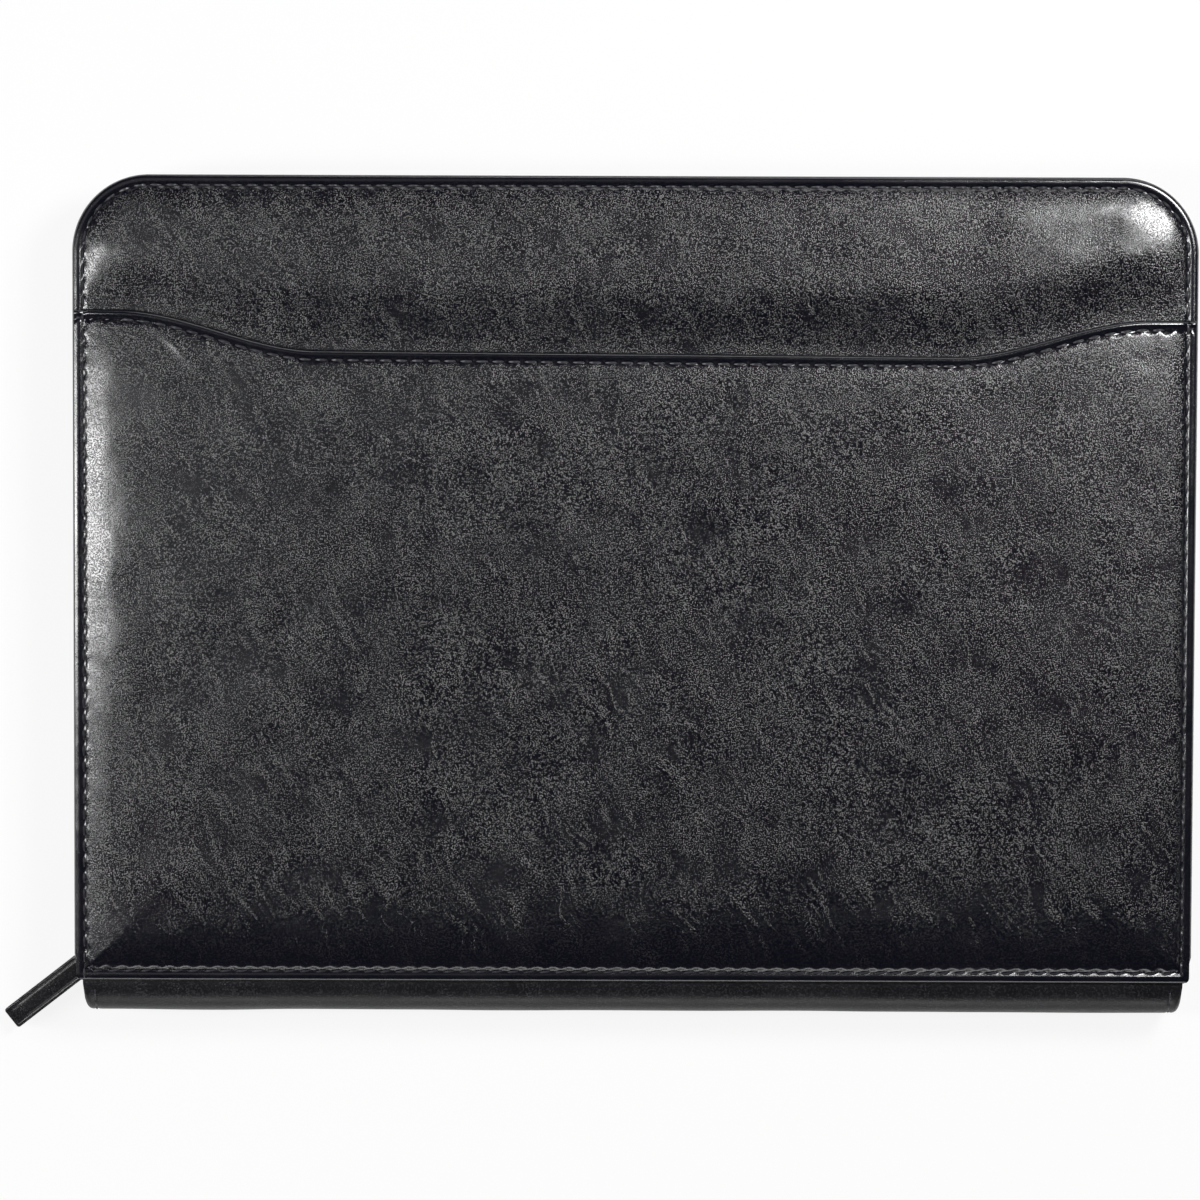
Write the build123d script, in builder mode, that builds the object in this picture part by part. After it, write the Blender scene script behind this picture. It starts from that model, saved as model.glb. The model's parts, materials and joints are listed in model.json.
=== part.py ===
from build123d import *
from math import asin, atan2, cos, degrees, hypot, pi, radians, sin
import os

# A zippered padfolio lying closed on its back, in millimetres.
# Origin: centre of the back face. +X runs along the spine, +Y towards the zip edge, +Z up.

# The writing pad that the case is made for, and the room left round it
pad_length = 298.0
pad_width = 216.0
pad_end_margin = 10.5
pad_zip_margin = 3.5
spine_gutter = 23.3

# The closed case
case_thickness = 27.0
corner_radius = 23.5

# Layers of a cover, from the outside in
skin_thickness = 1.2
foam_thickness = 1.8
board_thickness = 1.8
lining_thickness = 0.6
skin_wall = 1.5
skin_edge_round = 1.0
stitch_inset = 3.2
stitch_groove_width = 1.0
stitch_groove_depth = 0.4
layer_clearance = 0.2
turned_hem_width = 8.0

# Slash pocket on the front
pocket_thickness = 1.2
pocket_edge_inset = 0.8
pocket_edge_round = 0.7
mouth_below_zip_edge = 42.2
mouth_drop = 11.6
mouth_bend_start = 14.5
mouth_bend_end = 74.5
mouth_hem_width = 2.2
mouth_hem_thickness = 1.6
mouth_hem_chamfer = 0.5

# Spine
spine_end_inset = 2.5
spine_depth = 8.0
spine_radius = 7.8
spine_leather = 1.2
spine_tongue_length = 7.0
fold_gap = 0.4
stiffener_thickness = 1.4
stiffener_end_inset = 9.0
spine_lining_height = 12.5
pen_loop_radius = 6.2
pen_loop_wall = 0.9
pen_loop_length = 45.0
pen_loop_base = 9.0

# Zip: tape, chain and stops
tape_thickness = 0.6
tape_sewn_inset = 2.5
chain_inset = 11.5
tape_end_gap = 0.4
tooth_pitch = 3.0
tooth_length = 1.25
tooth_width = 2.0
tooth_taper = 4.0
tooth_root = 1.6
tooth_overlap = 0.8
stop_length = 1.6
stop_width = 2.4
end_tab_length = 4.0
end_tab_thickness = 1.0

# Slider, loop and pull tab
slider_stop_gap = 1.5
slider_length = 11.2
slider_plate = 0.8
slider_clearance = 0.3
slider_flange = 0.7
slider_tail_length = 6.6
throat_half_height = 4.2
wedge_half_height = 1.2
wedge_length = 4.0
bail_opening = 1.8
bail_length = 7.2
bail_bar = 0.8
bail_half_height = 0.9
loop_wire = 1.2
loop_wire_facets = 8
loop_length = 7.0
loop_half_height = 3.0
loop_corner = 1.4
pull_angle = 38.5
pull_droop = 14.0
tab_length = 32.5
tab_width = 7.2
tab_layer = 1.2
tab_nose_radius = 3.0
tab_shoulder = 3.5
tab_corner = 0.8
eyelet_bore = 1.5
eyelet_wall = 0.4
eyelet_flange = 2.6
eyelet_rim = 0.25
eyelet_seat = 0.02

# Layers of the pad, its sleeve and the inner pockets
card_backing = 0.8
sleeve_thickness = 0.7
sleeve_length = 251.5
sleeve_margin = 3.0
paper_thickness = 4.5
binding_width = 14.0
binding_cover = 0.4
inner_pocket_thickness = 0.8
inner_pocket_margin = 3.0
document_pocket_length = 216.5
card_pocket_count = 3
card_pocket_height = 62.0
card_pocket_width = 105.0
card_pocket_step = 16.0
card_pocket_end_margin = 12.0
card_pocket_zip_margin = 24.0

# Levels and lines worked out from the sizes above
tape_outer_inset = chain_inset - tape_thickness / 2
tape_inner_inset = chain_inset + tape_thickness / 2
lining_inset = tape_inner_inset + layer_clearance
cover_width = pad_length + 2 * (pad_end_margin + lining_inset)
case_depth = pad_width + pad_zip_margin + lining_inset + spine_gutter
half_width = cover_width / 2
zip_edge_y = case_depth / 2
spine_face_y = -case_depth / 2
fold_edge_y = spine_face_y + spine_depth
inner_edge_y = fold_edge_y + turned_hem_width
shell_depth = skin_thickness + foam_thickness + board_thickness
layer_inset = skin_wall + layer_clearance
groove_outer = stitch_inset - stitch_groove_width / 2
groove_inner = stitch_inset + stitch_groove_width / 2
front_face_z = case_thickness - mouth_hem_thickness
front_shell_z = front_face_z - shell_depth
front_lining_z = front_shell_z - lining_thickness
back_lining_z = shell_depth + lining_thickness
chain_z = (front_lining_z + back_lining_z) / 2
tape_low_y = fold_edge_y + tape_end_gap
slider_y = tape_low_y + stop_length + slider_stop_gap + slider_length / 2
mouth_end_y = zip_edge_y - mouth_below_zip_edge
mouth_bend_outer = half_width - mouth_bend_start
mouth_bend_inner = half_width - mouth_bend_end
spine_width = cover_width - 2 * spine_end_inset
stiffener_width = spine_width - 2 * stiffener_end_inset
spine_drop = case_thickness - front_face_z + skin_thickness
arc_y = spine_face_y + spine_radius
back_arc_z = spine_drop + spine_radius
front_arc_z = case_thickness - back_arc_z
spine_inner_y = spine_face_y + spine_leather + stiffener_thickness
spine_lining_y = spine_inner_y + lining_thickness
pen_loop_y = spine_lining_y + pen_loop_radius
fold_half_angle = degrees(asin(fold_gap / 2 / spine_radius))
chain_x = -(half_width - chain_inset)
channel_half = tooth_width / 2 + slider_clearance
plate_outer = channel_half + slider_plate
loop_x = chain_x - plate_outer - bail_opening / 2
pull_direction = Vector(-cos(radians(pull_angle)), -sin(radians(pull_angle)), 0)
pad_high_y = zip_edge_y - lining_inset - pad_zip_margin
pad_middle_y = pad_high_y - pad_width / 2
sleeve_z = back_lining_z + card_backing
paper_z = sleeve_z + sleeve_thickness
pad_top_z = paper_z + paper_thickness
document_z = front_lining_z - inner_pocket_thickness

# The two fold lines lie on the spine's outer leather, halfway round its quarter arcs
axis_y = arc_y - spine_radius * cos(pi / 4)
axis_z = back_arc_z - spine_radius * sin(pi / 4)


def cover_outline(z, inset, low_y):
    """A cover's outline drawn inside its edge: square at low_y, round at the zip side's corners."""
    high_y = zip_edge_y - inset
    with BuildSketch(Plane.XY.offset(z)) as outline:
        with Locations((0, (high_y + low_y) / 2)):
            Rectangle(2 * (half_width - inset), high_y - low_y)
        fillet(outline.vertices().group_by(Axis.Y)[-1], radius=corner_radius - inset)
    return outline.sketch


def cover_ring(z, outer_inset, inner_inset, low_y):
    """The band between two insets of a cover's outline, open on the spine side."""
    with BuildSketch(Plane.XY.offset(z)) as ring:
        add(cover_outline(0, outer_inset, low_y))
        add(cover_outline(0, inner_inset, low_y - corner_radius), mode=Mode.SUBTRACT)
    return ring.sketch


def stitch_groove(z, low_y):
    """The closed line that the perimeter stitching is drawn down into, all round a cover."""
    with BuildSketch(Plane.XY.offset(z)) as groove:
        add(cover_outline(0, groove_outer, low_y + groove_outer))
        add(cover_outline(0, groove_inner, low_y + groove_inner), mode=Mode.SUBTRACT)
    return groove.sketch


def mouth_sketch(z, inset, lowest_y, drop):
    """The area below the pocket's S-curved mouth, let down by drop, inside the cover's sides."""
    side = half_width - inset
    high_y = mouth_end_y - drop
    low_y = high_y - mouth_drop
    bend = degrees(2 * atan2(mouth_drop, mouth_bend_outer - mouth_bend_inner))
    radius = hypot(mouth_drop, mouth_bend_outer - mouth_bend_inner) / 4 / sin(radians(bend / 2))
    with BuildSketch(Plane.XY.offset(z)) as area:
        with BuildLine():
            Polyline((0, low_y), (0, lowest_y), (side, lowest_y), (side, high_y))
            edge = Line((side, high_y), (mouth_bend_outer, high_y))
            fall = JernArc(edge @ 1, edge % 1, radius, bend)
            level = JernArc(fall @ 1, fall % 1, radius, -bend)
            Line(level @ 1, (0, low_y))
        make_face()
        mirror(about=Plane.YZ)
    return area.sketch


def chain_places(first_y, offset):
    """Places of the teeth along the chain line: up the left side, across the top, down the right."""
    radius = corner_radius - chain_inset
    straight_y = zip_edge_y - corner_radius
    side = straight_y - first_y
    bend = radius * pi / 2
    top = 2 * (half_width - corner_radius)
    places = []
    travel = offset
    while travel < 2 * side + 2 * bend + top:
        if travel < side:
            place = Location((chain_x, first_y + travel), 90)
        elif travel < side + bend:
            turn = (travel - side) / radius
            corner_x = corner_radius - half_width
            x, y = corner_x - radius * cos(turn), straight_y + radius * sin(turn)
            place = Location((x, y), 90 - degrees(turn))
        elif travel < side + bend + top:
            place = Location((corner_radius - half_width + travel - side - bend, straight_y + radius), 0)
        elif travel < side + 2 * bend + top:
            turn = (travel - side - bend - top) / radius
            corner_x = half_width - corner_radius
            x, y = corner_x + radius * sin(turn), straight_y + radius * cos(turn)
            place = Location((x, y), -degrees(turn))
        else:
            place = Location((-chain_x, straight_y - (travel - side - 2 * bend - top)), -90)
        places.append(place)
        travel += tooth_pitch
    return places


os.makedirs("parts", exist_ok=True)
first_tooth_y = slider_y + slider_length / 2 + tooth_pitch / 2

# Back cover: a leather tray with its hem turned in at the spine, foam, board and lining
with BuildPart() as back_skin:
    extrude(cover_outline(0, 0, fold_edge_y), amount=shell_depth)
    fillet(back_skin.faces().sort_by(Axis.Z)[0].edges(), radius=skin_edge_round)
    extrude(cover_outline(skin_thickness, skin_wall, inner_edge_y), amount=shell_depth, mode=Mode.SUBTRACT)
    with BuildSketch(Plane.XY.offset(spine_drop)):
        with Locations((0, fold_edge_y)):
            Rectangle(2 * (half_width - skin_wall), 2 * turned_hem_width)
    extrude(amount=shell_depth, mode=Mode.SUBTRACT)
    extrude(stitch_groove(0, fold_edge_y), amount=stitch_groove_depth, mode=Mode.SUBTRACT)
back_skin.part.label = "back_skin"
export_step(back_skin.part, "parts/back_skin.step")

with BuildPart() as back_foam:
    extrude(cover_outline(skin_thickness, layer_inset, inner_edge_y), amount=foam_thickness)
back_foam.part.label = "back_foam"
export_step(back_foam.part, "parts/back_foam.step")

with BuildPart() as back_board:
    extrude(cover_outline(skin_thickness + foam_thickness, layer_inset, inner_edge_y), amount=board_thickness)
back_board.part.label = "back_board"
export_step(back_board.part, "parts/back_board.step")

with BuildPart() as back_lining:
    extrude(cover_outline(shell_depth, lining_inset, fold_edge_y), amount=lining_thickness)
back_lining.part.label = "back_lining"
export_step(back_lining.part, "parts/back_lining.step")

# Front cover: the same layers the other way up, open at the spine for the strip's tongue
with BuildPart() as front_skin:
    extrude(cover_outline(front_shell_z, 0, fold_edge_y), amount=shell_depth)
    fillet(front_skin.faces().sort_by(Axis.Z)[-1].edges(), radius=skin_edge_round)
    extrude(
        cover_outline(front_shell_z, skin_wall, fold_edge_y - skin_wall),
        amount=shell_depth - skin_thickness,
        mode=Mode.SUBTRACT,
    )
    extrude(stitch_groove(front_face_z, fold_edge_y), amount=-stitch_groove_depth, mode=Mode.SUBTRACT)
front_skin.part.label = "front_skin"
export_step(front_skin.part, "parts/front_skin.step")

with BuildPart() as front_foam:
    extrude(cover_outline(front_shell_z + board_thickness, layer_inset, inner_edge_y), amount=foam_thickness)
front_foam.part.label = "front_foam"
export_step(front_foam.part, "parts/front_foam.step")

with BuildPart() as front_board:
    extrude(cover_outline(front_shell_z, layer_inset, inner_edge_y), amount=board_thickness)
front_board.part.label = "front_board"
export_step(front_board.part, "parts/front_board.step")

with BuildPart() as front_lining:
    extrude(cover_outline(front_lining_z, lining_inset, fold_edge_y), amount=lining_thickness)
front_lining.part.label = "front_lining"
export_step(front_lining.part, "parts/front_lining.step")

# Slash pocket: a panel sewn over the front, with a rolled hem along its S-curved mouth
with BuildPart() as pocket_panel:
    extrude(
        mouth_sketch(front_face_z, pocket_edge_inset, fold_edge_y, mouth_hem_width),
        amount=pocket_thickness,
    )
    rim = pocket_panel.faces().sort_by(Axis.Z)[-1].edges().filter_by(Axis.Y)
    fillet(rim, radius=pocket_edge_round)
    extrude(
        stitch_groove(front_face_z + pocket_thickness, fold_edge_y),
        amount=-stitch_groove_depth,
        mode=Mode.SUBTRACT,
    )
pocket_panel.part.label = "pocket_panel"
export_step(pocket_panel.part, "parts/pocket_panel.step")

with BuildPart() as pocket_mouth_hem:
    with BuildSketch(Plane.XY.offset(front_face_z)):
        add(mouth_sketch(0, pocket_edge_inset, fold_edge_y, 0))
        add(mouth_sketch(0, 0, fold_edge_y - corner_radius, mouth_hem_width), mode=Mode.SUBTRACT)
    extrude(amount=mouth_hem_thickness)
    chamfer(pocket_mouth_hem.faces().sort_by(Axis.Z)[-1].edges(), length=mouth_hem_chamfer)
pocket_mouth_hem.part.label = "pocket_mouth_hem"
export_step(pocket_mouth_hem.part, "parts/pocket_mouth_hem.step")

# Spine: one leather strip that bends along two lines, so it is cut there into three stretches
with BuildPart() as spine_strip:
    with BuildSketch(Plane.YZ):
        with BuildLine():
            sweep_angle = 45 - fold_half_angle
            top_outer = CenterArc((arc_y, front_arc_z), spine_radius, 135 + fold_half_angle, sweep_angle)
            low_outer = CenterArc((arc_y, back_arc_z), spine_radius, 180, sweep_angle)
            top_inner = CenterArc(
                (arc_y, front_arc_z), spine_radius - spine_leather, 135 + fold_half_angle, sweep_angle
            )
            low_inner = CenterArc((arc_y, back_arc_z), spine_radius - spine_leather, 180, sweep_angle)
            Line(top_outer @ 1, low_outer @ 0)
            Line(top_inner @ 1, low_inner @ 0)
            Line(top_outer @ 0, top_inner @ 0)
            Line(low_outer @ 1, low_inner @ 1)
        make_face()
    extrude(amount=spine_width / 2, both=True)
spine_strip.part.label = "spine_strip"
export_step(spine_strip.part, "parts/spine_strip.step")

with BuildPart() as front_hinge_flange:
    with BuildSketch(Plane.YZ):
        with BuildLine():
            tongue_y = fold_edge_y + spine_tongue_length
            outer = CenterArc((arc_y, front_arc_z), spine_radius, 90, 45 - fold_half_angle)
            inner = CenterArc((arc_y, front_arc_z), spine_radius - spine_leather, 90, 45 - fold_half_angle)
            Line(outer @ 1, inner @ 1)
            Polyline(
                outer @ 0,
                (tongue_y, front_arc_z + spine_radius),
                (tongue_y, front_arc_z + spine_radius - spine_leather),
                inner @ 0,
            )
        make_face()
    extrude(amount=spine_width / 2, both=True)
front_hinge_flange.part.label = "front_hinge_flange"
export_step(front_hinge_flange.part, "parts/front_hinge_flange.step")

with BuildPart() as back_hinge_flange:
    mirror(front_hinge_flange.part, about=Plane.XY.offset(case_thickness / 2))
back_hinge_flange.part.label = "back_hinge_flange"
export_step(back_hinge_flange.part, "parts/back_hinge_flange.step")

with BuildPart() as spine_stiffener:
    with BuildSketch(Plane.XZ.offset(-spine_inner_y)):
        with Locations((0, case_thickness / 2)):
            Rectangle(stiffener_width, front_arc_z - back_arc_z)
    extrude(amount=stiffener_thickness)
spine_stiffener.part.label = "spine_stiffener"
export_step(spine_stiffener.part, "parts/spine_stiffener.step")

with BuildPart() as spine_lining:
    with BuildSketch(Plane.XZ.offset(-spine_lining_y)):
        with Locations((0, case_thickness / 2)):
            Rectangle(stiffener_width, spine_lining_height)
    extrude(amount=lining_thickness)
spine_lining.part.label = "spine_lining"
export_step(spine_lining.part, "parts/spine_lining.step")

with BuildPart() as pen_loop:
    with BuildSketch(Plane.YZ):
        with Locations((pen_loop_y, case_thickness / 2)):
            Circle(pen_loop_radius)
        with Locations((spine_lining_y + pen_loop_wall / 2, case_thickness / 2)):
            Rectangle(pen_loop_wall, pen_loop_base)
        with Locations((pen_loop_y, case_thickness / 2)):
            Circle(pen_loop_radius - pen_loop_wall, mode=Mode.SUBTRACT)
    extrude(amount=pen_loop_length / 2, both=True)
pen_loop.part.label = "pen_loop"
export_step(pen_loop.part, "parts/pen_loop.step")

# Zip tapes: a flange sewn under each cover's rim, and a web that stands up to the chain
with BuildPart() as back_zip_tape:
    extrude(cover_ring(shell_depth, tape_sewn_inset, tape_inner_inset, tape_low_y), amount=lining_thickness)
    extrude(
        cover_ring(back_lining_z, tape_outer_inset, tape_inner_inset, tape_low_y),
        amount=chain_z - tooth_root - back_lining_z,
    )
back_zip_tape.part.label = "back_zip_tape"
export_step(back_zip_tape.part, "parts/back_zip_tape.step")

with BuildPart() as front_zip_tape:
    mirror(back_zip_tape.part, about=Plane.XY.offset(chain_z))
front_zip_tape.part.label = "front_zip_tape"
export_step(front_zip_tape.part, "parts/front_zip_tape.step")

# Zip chain: two rows of tapered teeth, half a pitch apart, whose heads pass each other
with BuildPart() as back_zip_teeth:
    with BuildSketch(Plane.XY.offset(chain_z - tooth_root)):
        with Locations(*chain_places(first_tooth_y, tooth_pitch / 2)):
            Rectangle(tooth_length, tooth_width)
    extrude(amount=tooth_root + tooth_overlap, taper=tooth_taper)
back_zip_teeth.part.label = "back_zip_teeth"
export_step(back_zip_teeth.part, "parts/back_zip_teeth.step")

with BuildPart() as front_zip_teeth:
    with BuildSketch(Plane.XY.offset(chain_z + tooth_root)):
        with Locations(*chain_places(first_tooth_y, 0)):
            Rectangle(tooth_length, tooth_width)
    extrude(amount=-(tooth_root + tooth_overlap), taper=tooth_taper)
front_zip_teeth.part.label = "front_zip_teeth"
export_step(front_zip_teeth.part, "parts/front_zip_teeth.step")

# End stops of the chain, crimped on the tapes' last millimetres
with BuildPart() as back_zip_stops:
    with BuildSketch(Plane.XY.offset(chain_z - tooth_root)):
        with Locations((chain_x, tape_low_y + stop_length / 2), (-chain_x, tape_low_y + stop_length / 2)):
            Rectangle(stop_width, stop_length)
    extrude(amount=tooth_root - slider_clearance)
back_zip_stops.part.label = "back_zip_stops"
export_step(back_zip_stops.part, "parts/back_zip_stops.step")

with BuildPart() as front_zip_stops:
    mirror(back_zip_stops.part, about=Plane.XY.offset(chain_z))
front_zip_stops.part.label = "front_zip_stops"
export_step(front_zip_stops.part, "parts/front_zip_stops.step")

# End tabs: patches that close the tapes' raw ends on the inside
with BuildPart() as back_tape_end_tabs:
    with BuildSketch(Plane.XY.offset(back_lining_z)):
        tab_x = half_width - tape_inner_inset - end_tab_thickness / 2
        with Locations((-tab_x, tape_low_y + end_tab_length / 2), (tab_x, tape_low_y + end_tab_length / 2)):
            Rectangle(end_tab_thickness, end_tab_length)
    extrude(amount=chain_z - throat_half_height - back_lining_z)
back_tape_end_tabs.part.label = "back_tape_end_tabs"
export_step(back_tape_end_tabs.part, "parts/back_tape_end_tabs.step")

with BuildPart() as front_tape_end_tabs:
    mirror(back_tape_end_tabs.part, about=Plane.XY.offset(chain_z))
front_tape_end_tabs.part.label = "front_tape_end_tabs"
export_step(front_tape_end_tabs.part, "parts/front_tape_end_tabs.step")

# Slider: two plates joined by the wedge at the throat, with flanges that hold the rows in the channel
tail_half_height = tooth_root + slider_clearance + slider_flange
throat_y = slider_y - slider_length / 2
tail_y = slider_y + slider_length / 2
shoulder_y = tail_y - slider_tail_length
with BuildPart() as slider_body:
    with BuildSketch(Plane.YZ.offset(chain_x)):
        with BuildLine():
            Polyline(
                (throat_y, chain_z),
                (throat_y, chain_z + throat_half_height),
                (shoulder_y, chain_z + tail_half_height),
                (tail_y, chain_z + tail_half_height),
                (tail_y, chain_z),
                close=True,
            )
        make_face()
        mirror(about=Plane.XZ.offset(-chain_z))
    extrude(amount=plate_outer, both=True)
    with BuildSketch(Plane.YZ.offset(chain_x)):
        with Locations(((throat_y + tail_y) / 2, chain_z)):
            Rectangle(slider_length, 2 * (tooth_root + slider_clearance))
        with Locations(((throat_y + shoulder_y) / 2, chain_z)):
            Rectangle(shoulder_y - throat_y, 2 * throat_half_height)
    extrude(amount=channel_half, both=True, mode=Mode.SUBTRACT)
    with BuildSketch(Plane.XY.offset(chain_z)):
        with Locations((chain_x, slider_y)):
            Rectangle(tape_thickness + 2 * slider_clearance, slider_length)
    extrude(amount=throat_half_height, both=True, mode=Mode.SUBTRACT)
    with BuildSketch(Plane.YZ.offset(chain_x)):
        with BuildLine():
            Polyline(
                (throat_y, chain_z - wedge_half_height),
                (throat_y, chain_z + wedge_half_height),
                (throat_y + wedge_length, chain_z),
                close=True,
            )
        make_face()
    extrude(amount=channel_half, both=True)
slider_body.part.label = "slider_body"
export_step(slider_body.part, "parts/slider_body.step")

# Bail: the bridge on the slider's outer plate that the loop passes through
with BuildPart() as slider_bail:
    with BuildSketch(Plane.XY.offset(chain_z)) as bridge:
        bail_reach = bail_opening + bail_bar
        plate_x = chain_x - plate_outer
        with Locations((plate_x - bail_reach / 2, slider_y)):
            Rectangle(bail_reach, bail_length)
        fillet(bridge.vertices().group_by(Axis.X)[0], radius=bail_bar)
        with Locations((plate_x - bail_opening / 2, slider_y)):
            Rectangle(bail_opening, bail_length - 2 * bail_bar, mode=Mode.SUBTRACT)
    extrude(amount=bail_half_height, both=True)
slider_bail.part.label = "slider_bail"
export_step(slider_bail.part, "parts/slider_bail.step")

# Wire loop in an upright plane: one leg in the bail, the other in the tab's eyelet
loop_leg = Vector(loop_x, slider_y, chain_z)
loop_plane = Plane(origin=loop_leg, x_dir=pull_direction, z_dir=pull_direction.cross(Vector(0, 0, 1)))
with BuildPart() as pull_loop:
    with BuildLine(loop_plane) as wire_path:
        low = loop_half_height
        near_leg = Line((0, -low + loop_corner), (0, low - loop_corner))
        top_near = JernArc(near_leg @ 1, near_leg % 1, loop_corner, -90)
        top_bar = Line(top_near @ 1, loop_plane.from_local_coords((loop_length - loop_corner, low)))
        top_far = JernArc(top_bar @ 1, top_bar % 1, loop_corner, -90)
        far_leg = Line(top_far @ 1, loop_plane.from_local_coords((loop_length, -low + loop_corner)))
        low_far = JernArc(far_leg @ 1, far_leg % 1, loop_corner, -90)
        low_bar = Line(low_far @ 1, loop_plane.from_local_coords((loop_corner, -low)))
        JernArc(low_bar @ 1, low_bar % 1, loop_corner, -90)
    with BuildSketch(Plane(origin=near_leg @ 0, z_dir=near_leg % 0)):
        RegularPolygon(loop_wire / 2, loop_wire_facets)
    sweep()
pull_loop.part.label = "pull_loop"
export_step(pull_loop.part, "parts/pull_loop.step")

# Pull tab: two leather layers with an eyelet, drooping from the loop's outer leg
eyelet_centre = loop_leg + pull_direction * loop_length
tab_direction = pull_direction * cos(radians(pull_droop)) - Vector(0, 0, 1) * sin(radians(pull_droop))
tab_side = Vector(0, 0, 1).cross(pull_direction)
tab_plane = Plane(origin=eyelet_centre, x_dir=tab_direction, z_dir=tab_direction.cross(tab_side))
tab_hole = eyelet_bore + eyelet_wall + eyelet_seat


def tab_outline(plane):
    """The tab's outline: a round nose about the eyelet that widens to a straight strip."""
    with BuildSketch(plane) as outline:
        Circle(tab_nose_radius)
        with Locations(((tab_shoulder + tab_length) / 2, 0)):
            Rectangle(tab_length - tab_shoulder, tab_width)
        make_hull()
        fillet(outline.vertices().sort_by_distance((tab_length, 0))[:2], radius=tab_corner)
        Circle(tab_hole, mode=Mode.SUBTRACT)
    return outline.sketch


with BuildPart() as pull_tab_upper:
    extrude(tab_outline(tab_plane), amount=tab_layer)
pull_tab_upper.part.label = "pull_tab_upper"
export_step(pull_tab_upper.part, "parts/pull_tab_upper.step")

with BuildPart() as pull_tab_lower:
    extrude(tab_outline(tab_plane), amount=-tab_layer)
pull_tab_lower.part.label = "pull_tab_lower"
export_step(pull_tab_lower.part, "parts/pull_tab_lower.step")

with BuildPart() as pull_tab_eyelet:
    for side in (1, -1):
        with BuildSketch(tab_plane):
            Circle(eyelet_bore + eyelet_wall)
            Circle(eyelet_bore, mode=Mode.SUBTRACT)
        extrude(amount=side * tab_layer)
        with BuildSketch(tab_plane.offset(side * tab_layer)):
            Circle(eyelet_flange)
            Circle(eyelet_bore, mode=Mode.SUBTRACT)
        extrude(amount=side * eyelet_rim)
pull_tab_eyelet.part.label = "pull_tab_eyelet"
export_step(pull_tab_eyelet.part, "parts/pull_tab_eyelet.step")

# Writing pad on the back cover's lining: its card backing is held by a sleeve
with BuildPart() as pad_backing:
    with BuildSketch(Plane.XY.offset(back_lining_z)):
        with Locations((0, pad_middle_y)):
            Rectangle(pad_length, pad_width)
    extrude(amount=card_backing)
pad_backing.part.label = "pad_backing"
export_step(pad_backing.part, "parts/pad_backing.step")

sleeve_end_x = half_width - lining_inset - sleeve_margin
sleeve_mouth_x = sleeve_end_x - sleeve_length
with BuildPart() as pad_sleeve:
    with BuildSketch(Plane.XY.offset(sleeve_z)):
        with Locations(((sleeve_mouth_x + sleeve_end_x) / 2, pad_middle_y)):
            Rectangle(sleeve_end_x - sleeve_mouth_x, pad_width)
    extrude(amount=sleeve_thickness)
pad_sleeve.part.label = "pad_sleeve"
export_step(pad_sleeve.part, "parts/pad_sleeve.step")

with BuildPart() as paper_block:
    with BuildSketch(Plane.XY.offset(paper_z)):
        with Locations((0, pad_middle_y)):
            Rectangle(pad_length, pad_width)
    extrude(amount=paper_thickness)
paper_block.part.label = "paper_block"
export_step(paper_block.part, "parts/paper_block.step")

with BuildPart() as pad_binding:
    with BuildSketch(Plane.XZ.offset(-pad_middle_y)):
        with BuildLine():
            Polyline(
                (-pad_length / 2, back_lining_z),
                (-pad_length / 2, pad_top_z),
                (-pad_length / 2 + binding_width, pad_top_z),
                (-pad_length / 2 + binding_width, pad_top_z + binding_cover),
                (-pad_length / 2 - binding_cover, pad_top_z + binding_cover),
                (-pad_length / 2 - binding_cover, back_lining_z),
                close=True,
            )
        make_face()
    extrude(amount=pad_width / 2, both=True)
pad_binding.part.label = "pad_binding"
export_step(pad_binding.part, "parts/pad_binding.step")

# Pockets on the front cover's lining: one for documents, then stepped card pockets
pocket_end_x = half_width - lining_inset - inner_pocket_margin
document_mouth_x = pocket_end_x - document_pocket_length
card_pocket_x = pocket_end_x - card_pocket_end_margin - card_pocket_width / 2
with BuildPart() as document_pocket:
    with BuildSketch(Plane.XY.offset(document_z)):
        with Locations(((document_mouth_x + pocket_end_x) / 2, pad_middle_y)):
            Rectangle(pocket_end_x - document_mouth_x, pad_width)
    extrude(amount=inner_pocket_thickness)
document_pocket.part.label = "document_pocket"
export_step(document_pocket.part, "parts/document_pocket.step")

for step in range(card_pocket_count):
    card_high_y = pad_high_y - card_pocket_zip_margin - step * card_pocket_step
    with BuildPart() as card_pocket:
        with BuildSketch(Plane.XY.offset(document_z - (step + 1) * inner_pocket_thickness)):
            with Locations((card_pocket_x, card_high_y - card_pocket_height / 2)):
                Rectangle(card_pocket_width, card_pocket_height)
        extrude(amount=inner_pocket_thickness)
    card_pocket.part.label = f"card_pocket_{step + 1}"
    export_step(card_pocket.part, f"parts/card_pocket_{step + 1}.step")

print(f"fold lines at y {axis_y:.3f}, z {axis_z:.3f} and {case_thickness - axis_z:.3f}")
print(f"loop leg at x {loop_x:.3f}, y {slider_y:.3f}, z {chain_z:.3f}")
print(f"eyelet at {eyelet_centre}, turning about {tab_side}")
print(f"pad top {pad_top_z:.2f}, chain {chain_z:.2f}")
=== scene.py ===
# %% [markdown]
# This file dresses the CAD model of a zippered padfolio: a leather case that folds round a spine,
# closes with a zip and holds a writing pad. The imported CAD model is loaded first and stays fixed.
# Every new piece is worked out in the same frame: +X runs along the spine, +Y from the spine to the
# zip edge, +Z from the back cover to the front cover.

# %% Load the frame
import json
import math

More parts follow.
